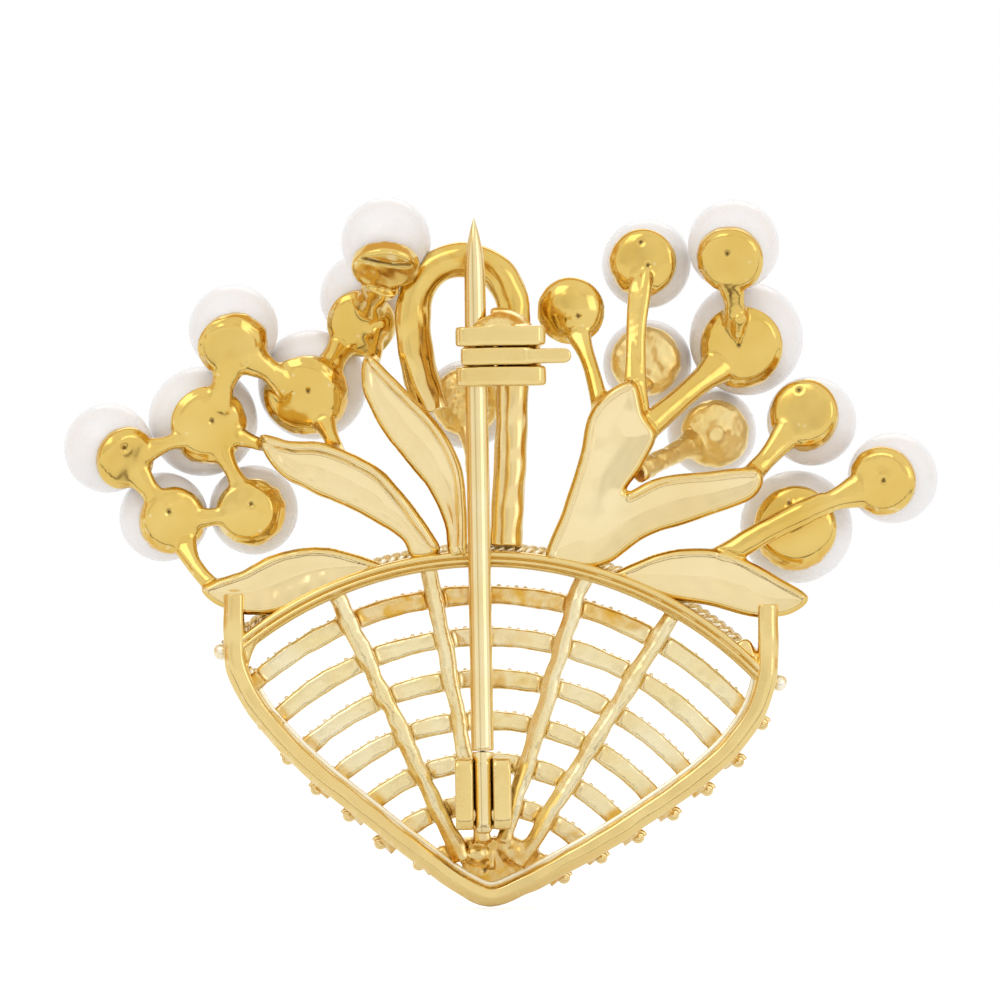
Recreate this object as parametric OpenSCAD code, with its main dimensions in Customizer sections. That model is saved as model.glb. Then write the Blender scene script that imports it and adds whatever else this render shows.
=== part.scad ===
// Flower-basket brooch with pearls: cast and plated metal, hinged pin stem and turning safety catch.
// The back of the brooch, with the pin, faces -Y. The pearls face +Y. The origin is on the axis of the
// pin stem, half way along its span, and +Z runs up the basket's handle.

/* [Pearls] */
// Radius of a small pearl
small_pearl_r = 2.24; // [2:0.02:2.26]
// Radius of a large pearl
large_pearl_r = 2.76; // [2.5:0.02:2.8]
// Radius of the bud pearl that hides behind its cup
bud_pearl_r = 1.55; // [1.3:0.05:1.6]
// Thickness of metal between a cup's back and its pearl
cup_floor = 0.4; // [0.3:0.05:0.5]
// Gap of the glue line between a pearl and its cup
glue_gap = 0.02; // [0.01:0.01:0.05]
// Radius of the peg that holds a pearl
peg_r = 0.32; // [0.25:0.01:0.4]
// Length of the peg beyond the cup's floor
peg_l = 1.6; // [1:0.1:2]

/* [Basket] */
// Distance from the basket's centre of curvature to the middle of its rim
rim_r = 19.2; // [18.8:0.1:19.4]
// Width of the rim seen from the back
rim_w = 0.75; // [0.6:0.05:0.9]
// Spacing of the woven bars
bar_pitch = 2.09; // [2:0.01:2.12]
// Width of a woven bar seen from the back
bar_w = 0.98; // [0.8:0.02:1.1]
// Radius of the bead at a bar's end
bead_r = 0.42; // [0.3:0.02:0.45]
// Width of a rib
rib_w = 0.84; // [0.6:0.02:1]
// Width of the wire-like back frame
frame_w = 1.05; // [0.9:0.05:1.2]

/* [Pin and hinge] */
// Sideways lean of the pin and its fittings, in degrees
pin_lean = 0.95; // [0:0.05:2]
// Radius of the pin stem
stem_r = 0.57; // [0.5:0.01:0.58]
// Radius of the pin stem where its long point begins
point_r = 0.52; // [0.45:0.01:0.55]
// Width of the knuckle between the hinge's ears
knuckle_w = 0.9; // [0.7:0.02:0.94]
// Width of one ear of the hinge
ear_w = 0.9; // [0.6:0.05:1]
// Radius of the hinge rivet
rivet_r = 0.3; // [0.25:0.01:0.35]

/* [Catch] */
// Height of one cheek of the catch
cheek_h = 1; // [0.9:0.05:1]
// Radius of the turning hub
hub_r = 0.88; // [0.84:0.01:0.9]
// Radial running clearance of the hub and of the rivet
run_gap = 0.04; // [0.03:0.01:0.06]
// Half the width of the slot that the stem slips through
slot_half = 0.63; // [0.6:0.01:0.66]
// Length of the lever beyond the catch's turning axis
lever_l = 4.78; // [4:0.1:5]

/* [Hidden] */
$fn = 64;
gold = "#e3c56e";
pearl_white = "#f2ece6";
far = 30;         // reaches past everything that it cuts
small_cup = 1.7;  // radius of a small pearl's cup
large_cup = 2.06; // radius of a large pearl's cup

// Depths along Y: the pin's axis is at 0 and larger values lie nearer the front
frame_y = [1.4, 3];
rib_y = [2.2, 3];
bar_y = [3, 3.8];
handle_y = [2.4, 3.6];
high_leaf_y = [1.4, 2.4];
leaf_y = [1.6, 2.7];
low_leaf_y = [1.9, 3];

// Basket: its centre of curvature in X and Z lies below the rim's crown. The rim and the bars reach
// these lengths along their arcs, from upright to each side
rim_crown = 1.6;
basket = [0.25, rim_crown - rim_r];
rim_outer = rim_r + rim_w / 2;
bar_drop = 1.85;
bar_left = [13.02, 12.12, 10.8, 9.22, 7.37, 5.6, 3.38];
bar_right = [15.66, 14.49, 12.76, 10.79, 8.71, 6.48, 4.24];
rim_left = 13.81;
rim_right = 15.95;
rope_r = rim_r + 0.4;

// Blooms: pearl centre [x, y, z], pearl radius, cup radius, and lean of the bloom's axis to +X and +Z
A = [[-12.35, 4.8, 13.05], small_pearl_r, small_cup, -0.05, 0.42];
B = [[-8.4, 6.6, 10.3], large_pearl_r, large_cup, 0.08, 0.25];
C = [[-13.9, 6.3, 8.45], large_pearl_r, large_cup - 0.1, -0.16, 0.12];
D = [[-18.6, 4.6, 7.1], small_pearl_r, small_cup - 0.1, -0.46, 0.26];
E = [[-15.85, 5.6, 3.65], small_pearl_r, small_cup, -0.24, 0.11];
F = [[-11.35, 6, 4], small_pearl_r, small_cup, 0, 0.05];
G = [[-5.8, 7, 14.65], small_pearl_r, small_cup, 0.03, 0.6];
H = [[-4.7, 3.5, 17.4], small_pearl_r, small_cup, 0.02, 0.66];
S = [[-0.65, 7, 9.3], small_pearl_r, small_cup, 0.04, -0.05];
I = [[4.6, 5.4, 14.05], bud_pearl_r, small_cup, 0.04, 0.08];
J = [[8.35, 6.2, 16.35], small_pearl_r, small_cup, 0.12, 0];
K = [[8.4, 8, 11.35], small_pearl_r, small_cup + 0.05, 0.04, -0.06];
L = [[12.7, 4.5, 17.25], small_pearl_r + 0.06, small_cup, 0.12, 0.36];
M = [[13.35, 7, 12.6], large_pearl_r + 0.1, large_cup + 0.04, 0.12, 0.2];
N = [[11.65, 8.6, 7.9], small_pearl_r, small_cup, -0.06, 0.04];
O = [[16.6, 5.3, 8.45], small_pearl_r, small_cup + 0.05, 0.22, -0.13];
P = [[20.65, 4.3, 5.6], small_pearl_r + 0.04, small_cup + 0.05, 0.3, 0.09];
Q = [[15.85, 6.05, 3.15], large_pearl_r + 0.08, large_cup + 0.04, 0.05, 0.05];
left_blooms = [C, D, E, F];
upper_blooms = [A, B, G, H];

// Pin: places along the stem, measured from the origin
stem_start = -8;
taper_start = 9.6;
ogive_start = 15.4;
stem_tip = 18.6;
rivet_z = -11.2;
ear_z = [-11.95, -8.35];
ear_back = -1.05;      // the ears' height above the pin's axis, towards -Y
hinge_floor = 1.2;
knuckle_end_r = 0.95;
neck_z = -8.28;        // the knuckle turns round above the ears
knuckle_top = -8.07;   // leaves room for the stem to be sprung sideways
side_gap = 0.05;
catch_z = 10.15;       // lower end of the catch
catch_x = [-1.02, 3.48];
catch_back = -1.3;
catch_layer_gap = 0.05;
arm_end = 2.73;
arm_front = -0.35;

// A smooth closed curve through a list of points
function wrap(p, i) = p[(i + len(p)) % len(p)];
function knot(a, b, c, d, t) =
    let (slope = c - a, bend = 2 * a - 5 * b + 4 * c - d, twist = 3 * b - a - 3 * c + d)
    0.5 * (2 * b + slope * t + bend * t * t + twist * t * t * t);
function smooth_loop(p, n = 5) = [
    for (i = [0:len(p) - 1], k = [0:n - 1])
        knot(wrap(p, i - 1), p[i], wrap(p, i + 1), wrap(p, i + 2), k / n)
];
// A smooth open curve through a list of points
function held(p, i) = p[max(0, min(len(p) - 1, i))];
function smooth_line(p, n = 5) = concat([
    for (i = [0:len(p) - 2], k = [0:n - 1])
        knot(held(p, i - 1), p[i], p[i + 1], held(p, i + 2), k / n)
], [p[len(p) - 1]]);
// The points of a line moved sideways by d
function along(p, i) = held(p, i + 1) - held(p, i - 1);
function beside(p, d) = [
    for (i = [0:len(p) - 1])
        p[i] + d * [-along(p, i)[1], along(p, i)[0]] / norm(along(p, i))
];
function backwards(p) = [for (i = [len(p) - 1:-1:0]) p[i]];

// The unit axis of a bloom, and its points: the pearl's centre and places on the cup
function axis_of(b) = [b[3], sqrt(1 - b[3] * b[3] - b[4] * b[4]), b[4]];
function cup_back(b) = b[0] - axis_of(b) * (b[1] + glue_gap + cup_floor);
// A point inside a cup's wall on the side that looks towards a target
function cup_side(b, target, reach = 0.7) =
    let (n = axis_of(b), c = cup_back(b), v = target - c, flat = v - (v * n) * n)
    c + n * 0.45 + flat / norm(flat) * b[2] * reach;

// A flat plate of outline p in X and Z, between two depths
module plate(p, y) {
    translate([0, y[1], 0]) rotate([90, 0, 0]) linear_extrude(y[1] - y[0]) polygon(p);
}
// A strip along a line of points
module strip(p, w, y) {
    plate(concat(beside(p, w / 2), backwards(beside(p, -w / 2))), y);
}
// A straight round strut, thicker or thinner at its far end
module strut(p, q, r1, r2) {
    v = q - p;
    translate(p)
        rotate([0, acos(v[2] / norm(v)), atan2(v[1], v[0])])
            cylinder(h = norm(v), r1 = r1, r2 = r2, $fn = 32);
}
module ball(p, r) {
    translate(p) sphere(r, $fn = 32);
}
// Turns Z to a bloom's axis, with the origin at a point
module aim(b, p) {
    n = axis_of(b);
    translate(p) rotate([0, acos(n[2]), atan2(n[1], n[0])]) children();
}
// The angle at the basket's centre of a length along an arc
function turn(length, r) = length / r * 180 / PI;
// A profile swept round the basket's centre at radius r, lengths a to the left and b to the right
module basket_sweep(r, a, b) {
    translate([basket[0], 0, basket[1]])
        rotate([90, 0, 0])
            rotate([0, 0, 90 - turn(b, r)])
                rotate_extrude(angle = turn(a + b, r)) children();
}
module basket_arc(r, w, y, a, b) {
    basket_sweep(r, a, b) translate([r - w / 2, -y[1]]) square([w, y[1] - y[0]]);
}
module basket_disc(r, from = -far) {
    translate([basket[0], far, basket[1]]) rotate([90, 0, 0]) cylinder(h = far - from, r = r, $fn = 128);
}
function on_arc(r, a, y) = [basket[0] + r * sin(a), y, basket[1] + r * cos(a)];
// Everything on the pin leans with it
module leaned() {
    rotate([0, -pin_lean, 0]) children();
}

// ---- basket ----
frame_line = smooth_line([
    [-12.3, -0.5], [-12.3, -2.4], [-12.1, -4.1], [-11.1, -6], [-9.6, -7.75], [-7.95, -9.3],
    [-6.25, -10.65], [-4.55, -12], [-2.85, -13.3], [-1.15, -14.55], [0.5, -15.3], [2.2, -14.7],
    [3.85, -13.85], [5.5, -12.95], [7.3, -11.85], [9.3, -10.5], [11.2, -9.1], [12.75, -7.6],
    [13.85, -5.9], [14.35, -4.2], [14.4, -2.6], [14.4, -1]
], 3);

module basket_frame() color(gold) {
    difference() {
        basket_frame_core();
        lower_left_leaf_solid();
        lower_right_leaf_solid();
    }
}

module rim_rail() color(gold) {
    difference() {
        basket_arc(rim_r, rim_w, [frame_y[0] + 0.1, frame_y[1]], rim_left, rim_right);
        basket_frame_core();
    }
}

module rim_rope() color(gold) {
    y = frame_y[1] + bead_r;
    past = 1; // degrees from the rope's end to its end bead
    basket_sweep(rim_r, rim_left, rim_right) translate([rope_r, -y]) circle(bead_r * 0.98, $fn = 32);
    ball(on_arc(rope_r, -turn(rim_left, rim_r) - past, y), bead_r * 1.05);
    ball(on_arc(rope_r, turn(rim_right, rim_r) + past, y), bead_r * 1.05);
}

module bar(i) color(gold) {
    r = rim_r - bar_drop - bar_pitch * i;
    y = (bar_y[0] + bar_y[1]) / 2;
    bead = r + bar_w / 2 - bead_r * 0.4;
    basket_arc(r, bar_w, bar_y, bar_left[i], bar_right[i]);
    ball(on_arc(bead, -turn(bar_left[i], r), y), bead_r * 0.95);
    ball(on_arc(bead, turn(bar_right[i], r), y), bead_r * 0.95);
}

// Each rib runs from under the rim to the pocket at the apex
rib_ends = [
    [[-7.15, -0.3], [-0.9, -13.5]],
    [[-2.6, 1.4], [0.15, -12.6]],
    [[5.25, 1], [1.2, -12.6]],
    [[9.6, -1.3], [1.9, -13.7]]
];
module rib(i) color(gold) {
    difference() {
        intersection() {
            strip(rib_ends[i], rib_w, rib_y);
            basket_disc(rim_r - rim_w / 2);
        }
        pocket_solid();
    }
}

pocket_outline = [
    [-1.3, -13.1], [-0.6, -12.45], [2, -12.45], [3.1, -12.9], [2.6, -13.85], [0.5, -14.75], [-0.7, -14.2]
];
module pocket_solid() {
    difference() {
        plate(pocket_outline, rib_y);
        basket_frame_core();
    }
}
module basket_frame_core() {
    strip(frame_line, frame_w, frame_y);
}
module apex_pocket() color(gold) pocket_solid();

// ---- handle ----
module handle_solid() {
    centre = [-0.85, 14];
    outer = 3.33;
    inner = 1.68;
    difference() {
        union() {
            translate([centre[0], handle_y[1], centre[1]])
                rotate([90, 0, 0])
                    rotate_extrude(angle = 180)
                        translate([inner, 0]) square([outer - inner, handle_y[1] - handle_y[0]]);
            plate([[-4.18, 14], [-2.53, 14], [-2.45, 11.4], [-1.9, 8.2], [-3.2, 8.2], [-4, 10.6]], handle_y);
            plate([[0.83, 14], [2.48, 14], [2.45, 8.5], [1.95, 1.5], [0.6, 1.5], [0.85, 7]], handle_y);
        }
        basket_disc(rim_outer);
        basket_disc(rope_r + bead_r + 0.03, frame_y[1] - 0.03);
        translate(H[0]) sphere(H[1] + 0.05);
    }
}
module handle_arch() color(gold) handle_solid();

// ---- leaves ----
upper_left_outline = smooth_loop([
    [-5.6, 11.75], [-5.85, 10.1], [-4.9, 8], [-3.65, 6.4], [-2.55, 5], [-1.8, 3.4], [-1.5, 1.8],
    [-0.7, 1.8], [-0.75, 5.2], [-1.3, 7.1], [-2.4, 8.7], [-3.8, 10.1]
]);
middle_left_outline = smooth_loop([
    [-11, 7.7], [-9.4, 7.45], [-7.6, 7.3], [-5.2, 6.2], [-3.95, 4.95], [-2.9, 3.6], [-2, 2],
    [-3.35, 1.6], [-4, 2.6], [-6.25, 3.95], [-8.5, 4.95], [-10.2, 6]
]);
lower_left_outline = smooth_loop([
    [-13.9, -0.05], [-13.2, 0.5], [-11.9, 0.95], [-10.2, 1.8], [-8.3, 2.15], [-6.6, 1.9],
    [-4.7, 1.15], [-5.7, 0.65], [-7.6, -0.05], [-9.3, -0.9], [-11.2, -1.25], [-12.8, -0.9]
]);
right_blade_outline = smooth_loop([
    [3.3, 1.6], [4.1, 3.9], [5, 6.7], [5.5, 8.9], [6.7, 10.15], [7.75, 10.35], [8.2, 8.8], [8.8, 7.7],
    [8.1, 6.2], [7.3, 4.9], [9, 5.65], [11.2, 5.9], [13.9, 6.05], [13.7, 4.65], [10.8, 3.5],
    [8.3, 2.65], [6.5, 1.4], [5, 1.1]
]);
lower_right_outline = smooth_loop([
    [6.6, 0.6], [7.9, 1.45], [9.6, 2], [11.6, 2.05], [13.1, 1.6], [14.95, 0.6], [16.4, -0.35],
    [15.5, -1.2], [13.8, -1.35], [11.6, -0.8], [9.2, -0.35]
]);
module lower_left_leaf_solid() {
    plate(lower_left_outline, low_leaf_y);
}
module lower_right_leaf_solid() {
    plate(lower_right_outline, low_leaf_y);
}
module above_rim(outline, y) color(gold) {
    difference() {
        plate(outline, y);
        basket_disc(rim_outer);
    }
}
module upper_left_leaf() above_rim(upper_left_outline, high_leaf_y);
module middle_left_leaf() above_rim(middle_left_outline, leaf_y);
module right_blade_leaf() above_rim(right_blade_outline, leaf_y);
module lower_left_leaf() above_rim(lower_left_outline, low_leaf_y);
module lower_right_leaf() above_rim(lower_right_outline, low_leaf_y);

// ---- blooms ----
// A dished cup: the back is flat with a rounded edge, and the front is hollowed to take the pearl
module cup(b) {
    r = b[2];
    aim(b, cup_back(b))
        rotate_extrude($fn = 64)
            polygon([[0, 0], [r * 0.8, 0], [r * 0.93, 0.08], [r, 0.28], [r, 0.95], [0, 0.95]]);
}
module cups(blooms) {
    for (b = blooms) cup(b);
}
// The room that a pearl and its glue line take
module seat(b) {
    translate(b[0]) sphere(b[1] + glue_gap);
}
module peg(b) {
    aim(b, cup_back(b)) translate([0, 0, cup_floor * 0.5]) cylinder(h = peg_l + cup_floor * 0.5, r = peg_r);
}
module pearl(b) color(pearl_white) {
    difference() {
        translate(b[0]) sphere(b[1]);
        aim(b, cup_back(b)) cylinder(h = cup_floor + peg_l + 0.15, r = peg_r + 0.03);
    }
}
// A strut between two cups
module link(b, c, r1, r2) {
    strut(cup_side(b, cup_back(c)), cup_side(c, cup_back(b)), r1, r2);
}
// A strut from a cup to a point
module branch(b, q, r1, r2) {
    strut(cup_side(b, q), q, r1, r2);
}

// Cups on struts, given as children, with their pegs and with room for their pearls
module spray(blooms) {
    difference() {
        union() {
            cups(blooms);
            children();
        }
        for (b = blooms) seat(b);
    }
    for (b = blooms) peg(b);
}

module left_spray() color(gold) {
    difference() {
        spray(left_blooms) {
            link(C, D, 0.36, 0.36);
            link(C, F, 0.38, 0.38);
            link(D, E, 0.38, 0.38);
            link(E, F, 0.34, 0.34);
            branch(E, [-13.3, 2.4, 0.1], 0.4, 0.36);
            branch(C, [-10.6, 2.2, 7.5], 0.3, 0.28);
        }
        lower_left_leaf_solid();
        plate(middle_left_outline, leaf_y);
    }
}

// Joins the left spray at bloom C
module upper_spray() color(gold) {
    difference() {
        spray(upper_blooms) {
            link(A, C, 0.45, 0.45);
            link(A, B, 0.5, 0.5);
            link(B, G, 0.55, 0.55);
            link(G, H, 0.6, 0.6);
            branch(B, [-7, 2.1, 6.6], 0.4, 0.36);
            branch(G, [-5.4, 2.2, 11.2], 0.4, 0.3);
        }
        cup(C);
        seat(C);
        plate(middle_left_outline, leaf_y);
        plate(upper_left_outline, high_leaf_y);
        handle_solid();
    }
}

module centre_spray() color(gold) {
    difference() {
        spray([S]) branch(S, [0.1, 2.2, 1.5], 0.38, 0.38);
        basket_disc(rim_outer);
    }
}

// The stems that grow out of the broad leaf on the right
module blade_stem(blooms) color(gold) {
    difference() {
        spray(blooms) children();
        plate(right_blade_outline, leaf_y);
    }
}
module bud_stem() blade_stem([I]) branch(I, [5.95, 2.15, 9.1], 0.38, 0.45);
module inner_stems() blade_stem([J, K]) {
    branch(J, [7.6, 2.1, 9.8], 0.34, 0.45);
    branch(K, [7.9, 2.4, 9.5], 0.38, 0.38);
}
module tall_stem() blade_stem([L, M]) {
    link(L, M, 0.45, 0.5);
    branch(M, [8.2, 2.15, 8], 0.58, 0.6);
}
module short_stem() blade_stem([N]) branch(N, [7.9, 2.2, 5.9], 0.45, 0.45);
module outer_stem() blade_stem([O]) branch(O, [13.3, 2.25, 5.45], 0.46, 0.46);

module side_spray() color(gold) {
    stem_bend = cup_back(Q) + [0.51, -0.5, 0.91];
    difference() {
        spray([P, Q]) {
            branch(P, stem_bend, 0.5, 0.55);
            ball(stem_bend, 0.62);
            strut(stem_bend, [12, 2.4, 1.7], 0.55, 0.6);
        }
        lower_right_leaf_solid();
    }
}

// ---- hinge ----
hinge_w = knuckle_w + 2 * side_gap + 2 * ear_w;
module rivet_bore(r) {
    translate([-far, 0, rivet_z]) rotate([0, 90, 0]) cylinder(h = 2 * far, r = r);
}
// Two ears on a solid foot that stands on the ribs
module hinge_joint() color(gold) leaned() {
    h = ear_z[1] - ear_z[0];
    round_r = 0.5;
    mid_y = ear_back + round_r;
    difference() {
        union() {
            translate([-hinge_w / 2, mid_y, ear_z[0]]) cube([hinge_w, rib_y[0] - mid_y, h]);
            translate([-hinge_w / 2, ear_back, ear_z[0] + round_r])
                cube([hinge_w, 2 * round_r, h - 2 * round_r]);
            for (z = [ear_z[0] + round_r, ear_z[1] - round_r])
                translate([-hinge_w / 2, mid_y, z])
                    rotate([0, 90, 0]) cylinder(h = hinge_w, r = round_r);
        }
        translate([-knuckle_w / 2 - side_gap, -far, ear_z[0] - 1])
            cube([knuckle_w + 2 * side_gap, far + hinge_floor, h + 2]);
        rivet_bore(rivet_r);
    }
}
module hinge_rivet() color(gold) leaned() {
    translate([-hinge_w / 2, 0, rivet_z]) rotate([0, 90, 0]) cylinder(h = hinge_w, r = rivet_r);
}
// The flattened end of the pin, drilled for the rivet, with a short round neck
module pin_knuckle() color(gold) leaned() {
    difference() {
        union() {
            translate([-knuckle_w / 2, 0, rivet_z])
                rotate([0, 90, 0]) cylinder(h = knuckle_w, r = knuckle_end_r);
            translate([-knuckle_w / 2, -stem_r, rivet_z])
                cube([knuckle_w, 2 * stem_r, neck_z - rivet_z]);
            translate([0, 0, neck_z]) cylinder(h = knuckle_top - neck_z, r = stem_r);
        }
        rivet_bore(rivet_r + run_gap);
    }
}
// The sprung wire with its long rounded point
module pin_stem() color(gold) leaned() {
    ogive_l = stem_tip - ogive_start;
    ogive = [for (t = [0:0.125:0.875]) [point_r * (1 - pow(t, 2.1)), ogive_start + ogive_l * t]];
    rotate_extrude()
        polygon(concat(
            [[0, stem_start], [stem_r - 0.1, stem_start], [stem_r, stem_start + 0.1], [stem_r, taper_start]],
            ogive, [[0.06, stem_tip - 0.04], [0, stem_tip]]
        ));
}

// ---- catch ----
catch_h = 3 * cheek_h;
module catch_block(z, h) {
    e = 0.3;
    x = catch_x;
    y = [catch_back, 1.15];
    translate([0, 0, z])
        linear_extrude(h)
            polygon([
                [x[0], y[0] + e], [x[0] + e, y[0]], [x[1] - e, y[0]], [x[1], y[0] + e],
                [x[1], y[1] - e], [x[1] - e, y[1]], [x[0] + e, y[1]], [x[0], y[1] - e]
            ]);
}
// Two cheeks with C-shaped bores, the web that joins them and stands on the handle, and a low cap
module catch_body() color(gold) leaned() {
    difference() {
        union() {
            catch_block(catch_z, cheek_h);
            catch_block(catch_z + 2 * cheek_h, cheek_h);
            translate([1.45, 0.3, catch_z]) cube([catch_x[1] - 1.75, 0.85, catch_h]);
            translate([0.95, 0.9, catch_z]) cube([1.65, handle_y[0] - 0.9, catch_h]);
            intersection() {
                translate([1.1, 0.4, catch_z + catch_h - 1.1]) sphere(2.05);
                translate([-2, catch_back, catch_z + catch_h - 0.2]) cube([6, 2.4, 2]);
            }
        }
        translate([0, 0, catch_z - 1]) cylinder(h = catch_h + 1, r = hub_r + run_gap);
        translate([-far, -slot_half, catch_z - 1]) cube([far, 2 * slot_half, catch_h + 4]);
        translate([-far, -slot_half, catch_z + catch_h]) cube([far + slot_half + 0.1, 4, 3]);
    }
}
// The hub with its slot, and the arm and lever that turn it
module catch_rotor() color(gold) leaned() {
    flange_z = catch_z + cheek_h + catch_layer_gap;
    flange_h = cheek_h - 2 * catch_layer_gap;
    difference() {
        union() {
            translate([0, 0, catch_z + 0.15]) cylinder(h = catch_h - 0.35, r = hub_r);
            translate([0, 0, flange_z]) cylinder(h = flange_h, r = -catch_x[0]);
            translate([0, catch_back, flange_z]) cube([arm_end, arm_front - catch_back, flange_h]);
            translate([-0.72, catch_back, flange_z]) cube([1, 0.7, flange_h]);
            translate([arm_end - 0.2, catch_back - 0.1, flange_z + 0.05])
                cube([lever_l - arm_end - 0.2, 0.7, flange_h - 0.15]);
            translate([lever_l - 0.4, catch_back - 0.1, flange_z + flange_h / 2 - 0.025])
                rotate([-90, 0, 0]) cylinder(h = 0.7, r = flange_h / 2 - 0.075);
        }
        translate([0, 0, catch_z - 1]) cylinder(h = catch_h + 2, r = slot_half);
        translate([-far, -slot_half, catch_z - 1]) cube([far, 2 * slot_half, catch_h + 2]);
    }
}

basket_frame();
rim_rail();
rim_rope();
apex_pocket();
handle_arch();
bar(0);  // bar_1
bar(1);  // bar_2
bar(2);  // bar_3
bar(3);  // bar_4
bar(4);  // bar_5
bar(5);  // bar_6
bar(6);  // bar_7
rib(0);  // rib_1
rib(1);  // rib_2
rib(2);  // rib_3
rib(3);  // rib_4
upper_left_leaf();
middle_left_leaf();
lower_left_leaf();
right_blade_leaf();
lower_right_leaf();
left_spray();
upper_spray();
centre_spray();
bud_stem();
inner_stems();
tall_stem();
short_stem();
outer_stem();
side_spray();
pearl(A);  // pearl_a
pearl(B);  // pearl_b
pearl(C);  // pearl_c
pearl(D);  // pearl_d
pearl(E);  // pearl_e
pearl(F);  // pearl_f
pearl(G);  // pearl_g
pearl(H);  // pearl_h
pearl(S);  // pearl_s
pearl(I);  // pearl_i
pearl(J);  // pearl_j
pearl(K);  // pearl_k
pearl(L);  // pearl_l
pearl(M);  // pearl_m
pearl(N);  // pearl_n
pearl(O);  // pearl_o
pearl(P);  // pearl_p
pearl(Q);  // pearl_q
hinge_joint();
hinge_rivet();
pin_knuckle();
pin_stem();
catch_body();
catch_rotor();
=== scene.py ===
"""Looks of the flower-basket brooch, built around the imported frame.

Shapes are worked out in millimetres and scaled to metres at the end. The back of the brooch faces -Y.
"""

from math import cos, pi, radians, sin, sqrt, tan

import bmesh
import bpy
import numpy as np
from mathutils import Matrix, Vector
from numpy.linalg import norm


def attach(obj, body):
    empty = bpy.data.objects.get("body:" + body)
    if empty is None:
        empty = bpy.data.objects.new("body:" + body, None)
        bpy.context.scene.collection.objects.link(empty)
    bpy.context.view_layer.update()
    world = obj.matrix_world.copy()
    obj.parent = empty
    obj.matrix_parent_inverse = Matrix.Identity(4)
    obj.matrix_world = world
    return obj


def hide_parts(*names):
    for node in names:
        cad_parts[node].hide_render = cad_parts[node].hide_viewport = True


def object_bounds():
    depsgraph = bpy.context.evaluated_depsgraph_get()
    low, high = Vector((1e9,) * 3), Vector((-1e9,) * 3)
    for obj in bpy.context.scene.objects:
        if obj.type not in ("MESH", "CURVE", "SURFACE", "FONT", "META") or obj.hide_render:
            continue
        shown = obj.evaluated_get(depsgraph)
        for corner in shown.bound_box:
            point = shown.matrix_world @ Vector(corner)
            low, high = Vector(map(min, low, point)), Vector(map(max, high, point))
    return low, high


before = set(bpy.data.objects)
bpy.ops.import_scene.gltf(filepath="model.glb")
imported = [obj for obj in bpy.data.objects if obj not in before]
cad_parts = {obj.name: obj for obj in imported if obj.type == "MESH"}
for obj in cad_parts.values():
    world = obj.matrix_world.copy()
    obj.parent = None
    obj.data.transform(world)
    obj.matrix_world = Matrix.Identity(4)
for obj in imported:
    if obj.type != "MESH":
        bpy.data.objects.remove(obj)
cad_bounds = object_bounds()

MM = 0.001
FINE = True
VOXEL = 0.075 if FINE else 0.11

# ---------------------------------------------------------------- sizes shared with the CAD
SMALL, LARGE, BUD = 2.24, 2.76, 1.55
CUP_S, CUP_L = 1.7, 2.06
FLOOR, GLUE = 0.4, 0.02
RIM_R = 19.2
BASKET = (0.25, 1.6 - RIM_R)
ROPE_R = RIM_R + 0.4
BAR_R = [RIM_R - 1.85 - 2.09 * i for i in range(7)]
BAR_W = 0.98
BAR_LEFT = [13.02, 12.12, 10.8, 9.22, 7.37, 5.6, 3.38]
BAR_RIGHT = [15.66, 14.49, 12.76, 10.79, 8.71, 6.48, 4.24]
RIM_LEFT, RIM_RIGHT = 13.81, 15.95
FRAME_Y = (1.4, 3.0)
BAR_Y = (3.0, 3.8)
PIN_LEAN, NECK_Z, RIVET_Z = 0.95, -8.28, -11.2
STEM_Z, STEM_R, TAPER_Z, OGIVE_Z, POINT_R, TIP_Z = -8.0, 0.57, 9.6, 15.4, 0.52, 18.6
SPRING, CAP_Z = 7.2, 13.25

# pearl centre, pearl radius, cup radius, lean to +X and +Z, how domed the cup's back is
BLOOMS = {
    "a": ((-12.35, 4.8, 13.05), SMALL, CUP_S, -0.05, 0.42, 0.0),
    "b": ((-8.4, 6.6, 10.3), LARGE, CUP_L, 0.08, 0.25, 0.0),
    "c": ((-13.9, 6.3, 8.45), LARGE, CUP_L - 0.1, -0.16, 0.12, 0.0),
    "d": ((-18.6, 4.6, 7.1), SMALL, CUP_S - 0.1, -0.46, 0.26, 0.0),
    "e": ((-15.85, 5.6, 3.65), SMALL, CUP_S, -0.24, 0.11, 0.1),
    "f": ((-11.35, 6.0, 4.0), SMALL, CUP_S, 0.0, 0.05, 0.1),
    "g": ((-5.8, 7.0, 14.65), SMALL, CUP_S, 0.03, 0.6, 0.0),
    "h": ((-4.7, 3.5, 17.4), SMALL, CUP_S, 0.02, 0.66, 0.0),
    "s": ((-0.65, 7.0, 9.3), SMALL, CUP_S, 0.04, -0.05, 0.3),
    "i": ((4.6, 5.4, 14.05), BUD, CUP_S, 0.04, 0.08, 1.0),
    "j": ((8.35, 6.2, 16.35), SMALL, CUP_S, 0.12, 0.0, 0.5),
    "k": ((8.4, 8.0, 11.35), SMALL, CUP_S + 0.05, 0.04, -0.06, 0.3),
    "l": ((12.7, 4.5, 17.25), SMALL + 0.06, CUP_S, 0.12, 0.36, 0.0),
    "m": ((13.35, 7.0, 12.6), LARGE + 0.1, CUP_L + 0.04, 0.12, 0.2, 0.1),
    "n": ((11.65, 8.6, 7.9), SMALL, CUP_S, -0.06, 0.04, 0.3),
    "o": ((16.6, 5.3, 8.45), SMALL, CUP_S + 0.05, 0.22, -0.13, 0.15),
    "p": ((20.65, 4.3, 5.6), SMALL + 0.04, CUP_S + 0.05, 0.3, 0.09, 0.0),
    "q": ((15.85, 6.05, 3.15), LARGE + 0.08, CUP_L + 0.04, 0.05, 0.05, 0.35),
}
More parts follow.
